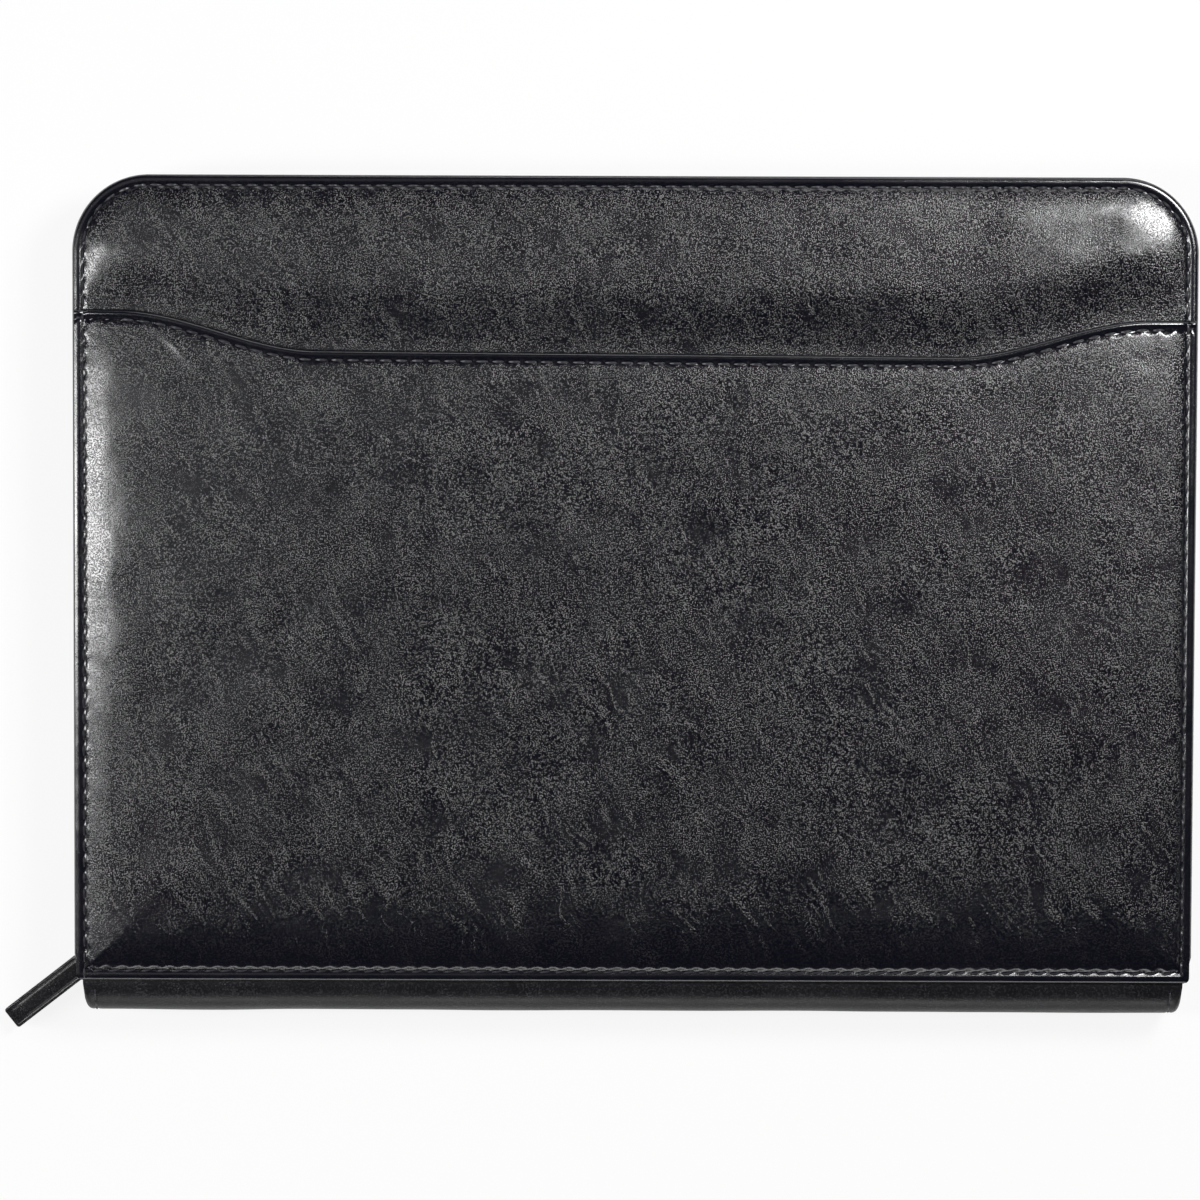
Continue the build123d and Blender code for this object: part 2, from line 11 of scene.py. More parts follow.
import bpy
import numpy as np
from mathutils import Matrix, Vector


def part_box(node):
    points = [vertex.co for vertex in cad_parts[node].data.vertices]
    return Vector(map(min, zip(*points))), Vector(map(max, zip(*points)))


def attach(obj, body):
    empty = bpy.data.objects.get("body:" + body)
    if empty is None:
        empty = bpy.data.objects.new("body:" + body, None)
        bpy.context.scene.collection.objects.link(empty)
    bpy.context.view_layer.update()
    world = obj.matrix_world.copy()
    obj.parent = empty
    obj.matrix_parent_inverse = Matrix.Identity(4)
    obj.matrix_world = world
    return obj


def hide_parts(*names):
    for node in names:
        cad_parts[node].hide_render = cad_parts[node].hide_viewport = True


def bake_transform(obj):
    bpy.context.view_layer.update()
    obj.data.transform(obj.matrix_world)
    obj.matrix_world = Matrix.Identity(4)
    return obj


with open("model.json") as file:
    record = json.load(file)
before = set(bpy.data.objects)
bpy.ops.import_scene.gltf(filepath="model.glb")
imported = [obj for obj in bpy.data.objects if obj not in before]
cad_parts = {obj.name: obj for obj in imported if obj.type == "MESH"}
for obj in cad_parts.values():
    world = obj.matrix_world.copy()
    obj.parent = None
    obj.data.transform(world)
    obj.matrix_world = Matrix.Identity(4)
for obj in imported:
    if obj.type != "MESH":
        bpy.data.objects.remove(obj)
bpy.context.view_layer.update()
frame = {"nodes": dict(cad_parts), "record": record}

# %% [markdown]
# Leather sewing is thought of in millimetres, and Blender works in metres. Shapes below are worked
# out in millimetres and turned to metres once, when a mesh is made. A surface is a grid of points or a
# row of rings, so a few helpers list the quads between them, and one turns points and quads into a piece.

# %% Helpers for quads
mm = 0.001


def node_box(node):
    """A CAD node's lowest and highest corners, in millimetres."""
    return np.array(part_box(node)) / mm


def grid_faces(rows, columns, start=0):
    """Quads of a grid of rows x columns points: (i, j), (i, j+1), (i+1, j+1), (i+1, j)."""
    i, j = np.meshgrid(np.arange(rows - 1), np.arange(columns - 1), indexing="ij")
    first = start + i * columns + j
    return np.stack([first, first + 1, first + columns + 1, first + columns], axis=-1).reshape(-1, 4)


def grid_border(rows, columns):
    """Numbers of the points on a grid's border, once round."""
    number = np.arange(rows * columns).reshape(rows, columns)
    return np.concatenate([number[0, :-1], number[:-1, -1], number[-1, :0:-1], number[:0:-1, 0]])


def ring_faces(rings, joined=False):
    """Quads between neighbouring rings of point numbers, an array of rings x points. Where they are
    joined, the last ring is followed by the first."""
    rings = np.vstack([rings, rings[:1]]) if joined else np.asarray(rings)
    ahead = np.roll(rings, -1, axis=1)
    return np.stack([rings[:-1], ahead[:-1], ahead[1:], rings[1:]], axis=-1).reshape(-1, 4)


def tube_faces(rings, sides):
    """Quads of a tube of rings x sides points. Each end is closed by quads across it: points i and i+1
    and the two points opposite them."""
    i = np.arange(sides // 2 - 1)
    across_end = np.stack([i, i + 1, sides - 2 - i, sides - 1 - i], axis=-1)
    wall = ring_faces(np.arange(rings * sides).reshape(rings, sides))
    return np.concatenate([wall, across_end[:, ::-1], across_end + (rings - 1) * sides])


def copied_faces(faces, points, copies):
    """The quads of several copies of a shape that has so many points."""
    return (faces[None] + (np.arange(copies) * points)[:, None, None]).reshape(-1, 4)


# %% Making a piece


def inside_out(points, faces):
    """Whether a closed shell's quads face inwards. The shell encloses a third of the sum of corner . area,
    where a quad's area vector is half the cross product of its diagonals, and here that is negative."""
    a, b, c, d = (points - points.mean(axis=0))[faces].transpose(1, 0, 2)
    return np.sum(a * np.cross(c - a, d - b)) < 0


def make_piece(name, points, faces, material, body, slot, replaced=(), sharp=40, cap=None):
    """One mesh from points in millimetres and quads, turned to face outwards; edges bent more than sharp
    degrees stay crisp. A cap is one more face, a ring of any number of points."""
    points = np.asarray(points).reshape(-1, 3)
    way = -1 if inside_out(points, faces) else 1
    cap_face = [] if cap is None else [cap[::way].tolist()]
    mesh = bpy.data.meshes.new(name)
    mesh.from_pydata((points * mm).tolist(), [], faces[:, ::way].tolist() + cap_face)
    mesh.polygons.foreach_set("use_smooth", np.ones(len(mesh.polygons), dtype=bool))
    mesh.set_sharp_from_angle(angle=math.radians(sharp))
    mesh.materials.append(material)
    piece = bpy.data.objects.new(name, mesh)
    bpy.context.scene.collection.objects.link(piece)
    if body:
        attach(piece, body)
    if replaced:
        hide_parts(*replaced)
    print(name, len(mesh.vertices), "points", len(mesh.polygons), "faces")
    return piece


# %% [markdown]
# The photograph looks almost straight down on the closed case from about a metre and a half, with
# the zip edge a little nearer to the lens. A long lens from that distance gives the same slight
# taper: the spine end comes out narrower than the zip end.

# %% Camera
view_distance, view_tilt, view_roll = 1.5, math.radians(3.7), math.radians(0.2)
aim = np.array([-10.8, -1.7, 27.0]) * mm
frame_width = 366.3 * mm
camera_data = bpy.data.cameras.new("camera")
camera_data.angle = 2 * math.atan(frame_width / 2 / view_distance)
camera = bpy.data.objects.new("camera", camera_data)
camera.location = aim + view_distance * np.array([0, math.sin(view_tilt), math.cos(view_tilt)])
camera.rotation_euler = (-view_tilt, 0, view_roll)
bpy.context.scene.collection.objects.link(camera)
bpy.context.scene.camera = camera
bpy.context.scene.view_settings.view_transform = "Standard"
print("field of view", round(math.degrees(camera_data.angle), 2))

# %% [markdown]
# Colours are given as sRGB hex values, but shaders add light in linear values, so one
# function converts them. A second one adds a shader node, sets it and links it, so that a material
# reads as a list of nodes. Most finishes end alike: a pattern mixes two colours and raises the surface.

# %% Helpers for materials


def linear(hex_colour):
    """sRGB to linear: c / 12.92 below 0.04045, otherwise ((c + 0.055) / 1.055) ** 2.4."""
    c = np.array([int(hex_colour[i:i + 2], 16) for i in (1, 3, 5)]) / 255
    value = np.where(c <= 0.04045, c / 12.92, ((c + 0.055) / 1.055) ** 2.4)
    return (*value.tolist(), 1.0)


def add_node(tree, kind, inputs=None, **settings):
    """Adds a node; an input that is a socket is linked, any other value is set on it."""
    made = tree.nodes.new("ShaderNode" + kind)
    for name, value in settings.items():
        setattr(made, name, value)
    for key, value in (inputs or {}).items():
        if isinstance(value, bpy.types.NodeSocket):
            tree.links.new(value, made.inputs[key])
        else:
            made.inputs[key].default_value = value
    return made


def start_material(name, roughness, **sockets):
    """A new material with its Principled shader and the place on the object, for its patterns; values that
    are the same all over are set on the shader."""
    made = bpy.data.materials.new(name)
    made.use_nodes = True
    tree = made.node_tree
    shader = tree.nodes["Principled BSDF"]
    shader.inputs["Roughness"].default_value = roughness
    for key, value in sockets.items():
        shader.inputs[key.replace("_", " ")].default_value = value
    return made, tree, shader, add_node(tree, "TexCoord").outputs["Object"]


def paint(tree, shader, pattern, dark, light, height=None, depth=0.0, strength=1.0):
    """Mixes two colours by a pattern and raises the surface by a height, times depth in millimetres."""
    tint = add_node(tree, "Mix", {0: pattern, 6: linear(dark), 7: linear(light)}, data_type="RGBA")
    tree.links.new(tint.outputs[2], shader.inputs["Base Color"])
    if height is not None:
        bump = add_node(tree, "Bump", {"Strength": strength, "Distance": depth * mm, "Height": height})
        tree.links.new(bump.outputs[0], shader.inputs["Normal"])
    return tint.outputs[2]


def per_mm(size):
    """Scale of a texture on Object coordinates whose features are size millimetres across."""
    return 1 / (size * mm)


def per_band(size):
    """Scale of a wave texture with bands size millimetres apart; at scale 1 it has one every 2 pi / 20."""
    return per_mm(size) * 2 * math.pi / 20


# %% [markdown]
# The case lies on a plain pale floor. The floor is painted white for the camera and keeps part of its
# real shading, so the shadow stays.

# %% Floor
floor_half, floor_glow = 15.0, 0.86
floor_mesh = bpy.data.meshes.new("floor")
floor_corners = np.array([[-1, -1, 0], [1, -1, 0], [1, 1, 0], [-1, 1, 0]]) * floor_half
floor_mesh.from_pydata(floor_corners.tolist(), [], [[0, 1, 2, 3]])
floor = bpy.data.objects.new("floor", floor_mesh)
bpy.context.scene.collection.objects.link(floor)
floor_paint, tree, shader, _ = start_material("white_paper_sweep", 0.9, Base_Color=linear("#f4f4f4"))
rays = add_node(tree, "LightPath")
glow = add_node(tree, "Emission", {"Color": (1, 1, 1, 1), "Strength": 1.0})
share = add_node(tree, "Math", {0: rays.outputs["Is Camera Ray"], 1: floor_glow}, operation="MULTIPLY")
mixed = add_node(tree, "MixShader", {0: share.outputs[0], 1: shader.outputs[0], 2: glow.outputs[0]})
tree.links.new(mixed.outputs[0], tree.nodes["Material Output"].inputs["Surface"])
floor_mesh.materials.append(floor_paint)
print("floor", 2 * floor_half, "m")

# %% [markdown]
# Black glossy leather is mostly seen by what it mirrors. So the studio has a white surround near the
# horizon and a dark ceiling, and soft boxes draw the highlights: one at the left, one at the upper right,
# a weak one overhead and two low ones, which draw the spine and the edges.

# %% World
surround_height, surround_level, ceiling_level, fill_level = 0.22, 1.0, 0.03, 0.12
world = bpy.data.worlds.new("studio")
bpy.context.scene.world = world
world.use_nodes = True
tree = world.node_tree
tree.nodes.clear()
height = add_node(tree, "SeparateXYZ", {0: add_node(tree, "TexCoord").outputs["Generated"]})
surround = add_node(tree, "MapRange",
                    {0: height.outputs["Z"], 1: 0.0, 2: surround_height, 3: surround_level, 4: ceiling_level},
                    interpolation_type="SMOOTHSTEP")
rays = add_node(tree, "LightPath")
mirroring = add_node(tree, "Math", {0: rays.outputs["Is Glossy Ray"], 1: rays.outputs["Is Transmission Ray"]},
                     operation="MAXIMUM")
level = add_node(tree, "Mix", {0: mirroring.outputs[0], 2: fill_level, 3: surround.outputs[0]})
level = add_node(tree, "Mix", {0: rays.outputs["Is Camera Ray"], 2: level.outputs[0], 3: 1.0})
backdrop = add_node(tree, "Background", {"Color": (1, 1, 1, 1), "Strength": level.outputs[0]})
add_node(tree, "OutputWorld", {"Surface": backdrop.outputs[0]})
print("world", world.name)

# %% Lamps
lamp_target = Vector((0, 0, 20 * mm))


def soft_box(name, place, size, watts):
    """A rectangular lamp of a size in millimetres, at a place, facing the middle of the case."""
    data = bpy.data.lights.new(name, "AREA")
    data.shape = "RECTANGLE"
    data.size, data.size_y = np.array(size) * mm
    data.energy = watts
    lamp = bpy.data.objects.new(name, data)
    lamp.location = np.array(place) * mm
    lamp.rotation_euler = (lamp.location - lamp_target).to_track_quat("Z", "Y").to_euler()
    bpy.context.scene.collection.objects.link(lamp)


soft_box("left_box", (-668, -10, 632), (115, 700), 4.2)
soft_box("upper_right_box", (405, 320, 755), (230, 300), 5.6)
soft_box("overhead_box", (-380, 250, 1700), (700, 700), 0.35)
soft_box("front_box", (0, -1200, 440), (900, 300), 2)
soft_box("back_box", (250, 1200, 440), (900, 300), 2)

# %% [markdown]
# Bonded leather is ground leather on a cloth back under a lacquered, embossed film. The eye gets a black
# skin whose fine pebbles break up each highlight. The pebble tops are painted a lighter grey, a painted
# highlight for the glints on the grain, stronger in streaks of denser grain along its creases and in soft
# patches; the roughness too changes in soft patches of shine. A slow noise shifts the fine one sideways,
# so that the pebbles are drawn out, now one way and now another.

# %% Bonded leather
crease_size, crease_turn = np.array([2.4, 15, 15]) * mm, math.radians(28)


def leather_finish(name, dark, light, roughness, grain, wave, size=0.6, gloss=0.5):
    """Black grained leather: grain and wave are the bump's depths and size is the pebbles' width, in mm.
    Pebbles are flat on top with narrow valleys. They stand out more in some patches and most in creases, and
    hardly at all where the mesh's pressed attribute says that they were pressed or stretched flat. The same
    pattern paints the pebble tops lighter, a painted highlight, so where the pebbles are flat the painted
    highlight is gone and the leather stays dark."""
    made, tree, shader, place = start_material(name, 0.4, Specular_IOR_Level=gloss)
    slow = add_node(tree, "TexNoise", {"Vector": place, "Scale": per_mm(16), "Detail": 1.0})
    drawn, bent = [add_node(tree, "VectorMath",
                            {0: slow.outputs["Color"], 1: (shift * mm, shift * mm, 0), 2: place},
                            operation="MULTIPLY_ADD").outputs[0] for shift in (4, 14)]
    fine = add_node(tree, "TexNoise", {"Vector": drawn, "Scale": per_mm(size), "Detail": 1.0})
    pebble = add_node(tree, "MapRange", {0: fine.outputs["Fac"], 1: 0.47, 2: 0.67},
                      interpolation_type="SMOOTHSTEP")
    swell = add_node(tree, "TexNoise", {"Vector": place, "Scale": per_mm(13), "Detail": 2.0})
    patch = add_node(tree, "MapRange", {0: swell.outputs["Fac"], 1: 0.3, 2: 0.7, 3: 0.55, 4: 1.0})
    along = add_node(tree, "Mapping", {"Vector": bent, "Rotation": (0, 0, crease_turn), "Scale": crease_size},
                     vector_type="TEXTURE")
    crease = add_node(tree, "TexNoise", {"Vector": along.outputs[0], "Scale": 1.0, "Detail": 1.0})
    crease_grain_and_glint = add_node(tree, "MapRange",
                     {0: crease.outputs["Fac"], 1: 0.53, 2: 0.72, 3: patch.outputs[0], 4: 1.6})
    pressed = add_node(tree, "Attribute", attribute_name="pressed")
    kept = add_node(tree, "MapRange", {0: pressed.outputs["Fac"], 3: crease_grain_and_glint.outputs[0], 4: 0.0})
    grain_and_glint = add_node(tree, "Math", {0: pebble.outputs[0], 1: kept.outputs[0]}, operation="MULTIPLY")
    waves = add_node(tree, "Math", {0: swell.outputs["Fac"], 1: wave}, operation="MULTIPLY")
    height = add_node(tree, "Math", {0: grain_and_glint.outputs[0], 1: grain, 2: waves.outputs[0]},
                      operation="MULTIPLY_ADD")
    # The lighter colour on the pebble tops is a painted highlight, strongest along the creases.
    paint(tree, shader, grain_and_glint.outputs[0], dark, light, height.outputs[0], depth=1.0)
    shine = add_node(tree, "MapRange",
                     {0: slow.outputs["Fac"], 1: 0.3, 2: 0.7, 3: roughness[0], 4: roughness[1]})
    tree.links.new(shine.outputs[0], shader.inputs["Roughness"])
    print("leather", name)
    return made


# The grey #3f3f3d on the pebble tops is a painted highlight; the leather's own colour is the bluish black.
cover_leather = leather_finish("bonded_leather_glossy_black", "#030310", "#3f3f3d", (0.16, 0.22), 0.045, 0.2,
                               size=0.42, gloss=1.0)

# %% [markdown]
# The cover's outline is a rectangle whose two corners at the zip edge are round. Rows of the grid run
# along X and each is as wide as the outline at its Y, so the ends of the rows lie on the round corners.
# The distance to the outline then gives the section of the sewn edge anywhere on the cover.

# %% The cover's outline
skin_low, skin_high = node_box("front_skin")
half_width, zip_y, fold_y = skin_high[0], skin_high[1], skin_low[1]
front_face, front_shell = skin_high[2], skin_low[2]
corner_radius, fold_corner = 23.5, 2.0
middle_y, half_depth = (zip_y + fold_y) / 2, (zip_y - fold_y) / 2


def half_width_at(y):
    """Half width of the outline at y: each corner's circle pulls it in by R - sqrt(R^2 - t^2)."""
    up = np.clip(y - (zip_y - corner_radius), 0, corner_radius)
    down = np.clip(fold_y + fold_corner - y, 0, fold_corner)
    return (half_width - corner_radius + np.sqrt(corner_radius ** 2 - up ** 2)
            - fold_corner + np.sqrt(fold_corner ** 2 - down ** 2))


def edge_distance(x, y):
    """How far (x, y) lies inside the outline: the distance formula of a rectangle with round corners."""
    r = np.where(y > middle_y, corner_radius, fold_corner)
    qx, qy = np.abs(x) - half_width + r, np.abs(y - middle_y) - half_depth + r
    return r - np.hypot(np.maximum(qx, 0), np.maximum(qy, 0)) - np.minimum(np.maximum(qx, qy), 0)


print("cover", half_width, zip_y, fold_y)

# %% Steps of a grid and soft waves


def spaced(low, high, fine, coarse, margin_low, margin_high):
    """Positions from low to high, fine steps in both margins and coarse steps between them."""
    marks = [(low, low + margin_low, fine), (low + margin_low, high - margin_high, coarse),
             (high - margin_high, high, fine)]
    runs = [np.linspace(a, b, max(int(round((b - a) / step)), 1) + 1)[:-1] for a, b, step in marks if b > a]
    return np.append(np.concatenate(runs), high)


def ease(t):
    """A smooth step from 0 to 1: 3 t^2 - 2 t^3, where t is kept between 0 and 1."""
    t = np.clip(t, 0, 1)
    return t * t * (3 - 2 * t)


def bell(distance, width):
    """A bell curve, exp(-(distance / width)^2)."""
    return np.exp(-(distance / width) ** 2)


def full_turn(count):
    """Angles of equal steps once round a circle."""
    return np.arange(count) * 2 * math.pi / count


def soft_noise(x, y, size, seed):
    """Smooth random heights from -1 to 1: seeded values on a lattice of size mm, eased between knots."""
    table = np.random.default_rng(seed).uniform(-1, 1, (64, 64))
    u, v = x / size + 31.37, y / size + 29.71
    i, j = np.floor(u).astype(int) % 63, np.floor(v).astype(int) % 63
    s, t = u - np.floor(u), v - np.floor(v)
    s, t = s * s * s * (s * (s * 6 - 15) + 10), t * t * t * (t * (t * 6 - 15) + 10)
    return ((table[i, j] * (1 - s) + table[i + 1, j] * s) * (1 - t)
            + (table[i, j + 1] * (1 - s) + table[i + 1, j + 1] * s) * t)


# %% [markdown]
# Thread runs round the cover at a constant distance from the edge, up the left side, round the two
# corners and down the right side, and so does the zip. Distance along such a line places the stitches
# and the teeth, and lets the leather pucker between the stitches.

# %% Lines round the cover
top_run = 2 * (half_width - corner_radius)


def line_lengths(line_inset, low_y):
    """Length of one side, of one corner and of the whole of a line at an inset, which starts at low_y."""
    side, corner = zip_y - corner_radius - low_y, (corner_radius - line_inset) * math.pi / 2
    return side, corner, 2 * side + 2 * corner + top_run


def line_place(run, inset, line_inset, low_y):
    """Point and direction at an inset; run is counted along the line at line_inset: side, corner, top,
    corner, side. The second half mirrors the first."""
    side, corner, total = line_lengths(line_inset, low_y)
    half = np.minimum(run, total - run)
    turn = np.clip((half - side) / (corner_radius - line_inset), 0, math.pi / 2)
    reach = corner_radius - inset
    x = -(half_width - corner_radius) - reach * np.cos(turn) + np.maximum(half - side - corner, 0)
    y = low_y + np.minimum(half, side) + reach * np.sin(turn)
    far = run > total / 2
    return (np.stack([np.where(far, -x, x), y], axis=-1),
            np.stack([np.sin(turn), np.where(far, -1, 1) * np.cos(turn)], axis=-1))


print("top run", round(top_run, 1), "mm")

# %% The seam and the section of a sewn edge
seam_inset, stitch_pitch = 3.2, 4.9
seam_radius = corner_radius - seam_inset
side_run, corner_run, seam_length = line_lengths(seam_inset, fold_y)
fold_zone = 6.0


def seam_run(x, y):
    """Distance along the seam of the point of it that is nearest to (x, y)."""
    qx, qy = np.abs(x) - half_width + corner_radius, y - zip_y + corner_radius
    turn = np.arctan2(np.maximum(qy, 0), np.maximum(qx, 1e-6))
    half = np.where(qx <= 0, side_run + corner_run - qx,
                    np.minimum(y - fold_y, side_run) + seam_radius * np.where(qy > 0, turn, 0))
    return np.where(x > 0, seam_length - half, half)


def quarter_round(distance, radius):
    """An edge rolled to a quarter circle: sqrt(r^2 - t^2) - r, where t is the distance left to r."""
    left = np.clip(radius - distance, 0, radius)
    return np.sqrt(radius ** 2 - left ** 2) - radius


def puckered_groove(distance, run, dip=0.6):
    """A sewn groove, a bell curve over the distance from the seam; it is deeper, wider and further in
    at each needle hole, once in every stitch along the run."""
    hole = np.cos(2 * math.pi * run / stitch_pitch)
    return -dip * (0.72 + 0.28 * hole) * bell(distance - 0.28 * hole, 0.55 + 0.15 * hole)


def padding(distance, near=1.0, far=1.8):
    """Foam under the leather: a steep rise as 1 - exp(-t / 3.2) beside the seam and a slow one over 13 mm."""
    t = np.maximum(distance - seam_inset, 0)
    return near * (1 - np.exp(-t / 3.2)) + far * (1 - np.exp(-t / 13))


def sewn_edge(distance, run, roll=1.1, rim=0.12):
    """Height of the sewn border over its distance from the edge: a rolled edge, a low rim and a groove."""
    return (quarter_round(distance, roll) + rim * bell(distance - 1.6, 0.9)
            + puckered_groove(distance - seam_inset, run))


def pressed_share(distance, reach):
    """How far sewing has pressed the grain flat: 0.85 up to reach, then falling to 0 within 1.6 mm."""
    return 0.85 * np.clip((reach + 1.6 - distance) / 1.6, 0, 1)


print("seam", round(seam_length, 1), "mm,", int(seam_length / stitch_pitch), "stitches")

# %% [markdown]
# The slash pocket's mouth drops in a flat S from each side. The same line ends the pocket panel's
# grid and tells the cover where to sink so that the panel lies over it.

# %% The pocket mouth
mouth_side_y, mouth_middle_y = 85.2, 73.6
mouth_outer_x, mouth_inner_x = 157.0, 97.0
mouth_skew = -1.2


def mouth_y(x):
    """Y of the mouth: level at the sides and middle, with a smooth S between them, and slightly askew."""
    drop = ease((np.abs(x) - mouth_inner_x) / (mouth_outer_x - mouth_inner_x))
    return mouth_middle_y + (mouth_side_y - mouth_middle_y) * drop + mouth_skew * np.asarray(x) / half_width


print("mouth", mouth_y(np.array([-171.0, 0.0, 171.0])).round(1))

# %% [markdown]
# A cover's leather is wrapped over foam and turned in round the board. It could be puffed by a cloth
# simulation, but its shape is simple and known: a rolled edge, a stitched groove and a padded field.
# Those are a sum of heights over the outline, so every point is placed by a formula, and the turned-in
# border is a few more rings under the grid's own.

# %% A cover from a grid of heights
turn_in = [(0.0, 1.2), (0.35, 0.35), (1.2, 0.0), (11.9, -0.02)]


def closed_cover(top, pressed, edges, name, turned=False, **details):
    """A grid of points plus skirts: edges lists, for each further ring round the grid's border, how far
    it is drawn inwards and its height, and the last ring is closed by one flat face. The pressed share is
    kept at the points for the material. A turned cover is worked out upside down and mirrored at the end."""
    rows, columns, _ = top.shape
    border = grid_border(rows, columns)
    rim = top.reshape(-1, 3)[border]
    along = (np.roll(rim, -1, axis=0) - np.roll(rim, 1, axis=0))[:, :2]
    inward = np.stack([-along[:, 1], along[:, 0]], axis=-1)
    inward /= np.maximum(np.linalg.norm(inward, axis=1, keepdims=True), 1e-9)
    skirts = [np.column_stack([rim[:, :2] + inward * draw, np.full(len(rim), level)])
              for draw, level in edges]
    further = rows * columns + np.arange(len(edges) * len(rim)).reshape(len(edges), -1)
    rings = np.vstack([border, further])
    faces = np.concatenate([grid_faces(rows, columns), ring_faces(rings)[:, ::-1]])
    points = np.concatenate([top.reshape(-1, 3), *skirts]) * [1, 1, -1 if turned else 1]
    piece = make_piece(name, points, faces, cap=rings[-1][::-1], **details)
    share = np.concatenate([pressed.ravel(), np.ones(len(points) - pressed.size)])
    piece.data.attributes.new("pressed", "FLOAT", "POINT").data.foreach_set("value", share)
    return piece


# %% Front cover leather
arc_rows = zip_y - corner_radius + corner_radius * np.sin(np.linspace(0, math.pi / 2, 50))
rows_y = np.concatenate([np.linspace(fold_y, 66, 24), np.arange(67.2, arc_rows[0] - 0.5, 1.2), arc_rows])
across = spaced(-half_width, half_width, 0.42, 1.05, 12, 12) / half_width
grid_y = np.repeat(rows_y[:, None], len(across), axis=1)
grid_x = across[None, :] * half_width_at(grid_y)


def front_skin_height(x, y):
    """Sewn edge and padding; the padding fades out towards the pocket mouth, where the panel lies on it."""
    fade = ease((y - mouth_y(x) - 1.0) / 20)
    distance = edge_distance(x, y)
    waves = 0.16 * soft_noise(x, y, 21, 3) + 0.07 * soft_noise(x, y, 9, 4)
    field = np.clip((distance - 5) / 8, 0, 1)
    return (front_face - 0.2 + sewn_edge(distance, seam_run(x, y))
            + fade * padding(distance) + waves * fade * field)


front_leather = closed_cover(
    np.stack([grid_x, grid_y, front_skin_height(grid_x, grid_y)], axis=-1),
    pressed_share(edge_distance(grid_x, grid_y), seam_inset),
    [(draw, front_shell + level) for draw, level in turn_in],
    "front_cover_leather", material=cover_leather, body="front_cover", slot="bonded_leather",
    replaced=("front_skin",))

# %% [markdown]
# The pocket panel is a second piece of the same leather over most of the cover, sewn in with the edge.
# Its upper edge is turned over into a rolled hem. The hem is part of the panel's own leather, so the
# panel's grid simply ends in a bead at the mouth. Near the fold the leather is stretched smooth, and the
# painted highlight on the pebbles fades with the grain, so the leather is darker towards the fold.

# %% Pocket panel leather
panel_inset, panel_face, panel_foot = 0.7, front_face + 0.75, fold_y + 0.4
climb = spaced(0, 1, 0.0023, 0.0055, 0.055, 0.05)
hem_seam, stretch_reach = 3.0, 20.0
wrinkle_from, wrinkle_to = np.array([-147.5, 82.5]), np.array([-126.5, 60.5])
wrinkle_length = np.linalg.norm(wrinkle_to - wrinkle_from)
wrinkle_way = (wrinkle_to - wrinkle_from) / wrinkle_length


def wrinkle_height(x, y):
    """A ridge with a bell-shaped section along a slanting, slightly bowed line, highest in its middle."""
    x, y = x - wrinkle_from[0], y - wrinkle_from[1]
    part = np.clip((x * wrinkle_way[0] + y * wrinkle_way[1]) / wrinkle_length, 0, 1)
    aside = x * wrinkle_way[1] - y * wrinkle_way[0]
    return 0.42 * np.sin(math.pi * part) * bell(aside + 2.5 * part * (1 - part), 1.3)


def panel_height(x, y):
    """Sewn edge, padding, a rolled hem at the mouth with its own groove below it, and a wrinkle near the
    left end of the mouth."""
    below = mouth_y(x) - y
    distance = edge_distance(x, y) - panel_inset
    hem = 0.5 * bell(below - 1.1, 1.1) + quarter_round(below, 0.8) + puckered_groove(below - hem_seam, x)
    waves = 0.2 * soft_noise(x, y, 24, 5) + 0.08 * soft_noise(x, y, 10, 6)
    field = np.clip((distance - 4) / 9, 0, 1) * np.clip((below - 3) / 9, 0, 1)
    rise = padding(distance + panel_inset) * (0.45 + 0.55 * (1 - np.exp(-np.maximum(below, 0) / 9)))
    run = np.where(y < fold_y + fold_zone, x, seam_run(x, y))
    return (panel_face + sewn_edge(distance + panel_inset * 0.6, run, roll=0.8)
            + rise + hem + waves * field + wrinkle_height(x, y))


panel_x = np.repeat(across[None, :] * (half_width - panel_inset), len(climb), axis=0)
panel_y = panel_foot + climb[:, None] * (mouth_y(panel_x) - panel_foot)
panel_x = panel_x * half_width_at(panel_y) / half_width
# Where the grain is pressed or stretched flat, its painted highlight goes as well, so the leather is darker
# by the seams, under the hem and towards the fold.
panel_pressed = np.maximum.reduce([pressed_share(edge_distance(panel_x, panel_y), seam_inset),
                                   pressed_share(mouth_y(panel_x) - panel_y, hem_seam),
                                   0.9 * bell(panel_y - fold_y, stretch_reach)])
pocket_panel = closed_cover(
    np.stack([panel_x, panel_y, panel_height(panel_x, panel_y)], axis=-1), panel_pressed,
    [(0.15, front_face - 0.1), (3.0, front_face - 0.3)],
    "pocket_panel_leather", material=cover_leather, body="front_cover", slot="bonded_leather",
    replaced=("pocket_panel", "pocket_mouth_hem"))

# %% [markdown]
# Sewing thread is black waxed and twisted polyester; its colour is raised to a dark grey, a painted sheen
# for the shine of the thread. Each stitch is a short spindle that dives into the leather at both ends.
# Hundreds are needed, so one spindle is a small tube and all of them are placed at once by adding and
# turning whole arrays.

# %% Sewing thread
thread, tree, shader, place = start_material("waxed_polyester_thread_black", 0.28)
wax_and_sheen = add_node(tree, "TexNoise", {"Vector": place, "Scale": per_mm(2.5)})
# The grey up to #424248 is a painted sheen on the black thread; the noise varies it at random.
paint(tree, shader, wax_and_sheen.outputs["Fac"], "#18181b", "#424248")
thread_rings, thread_sides = 7, 6


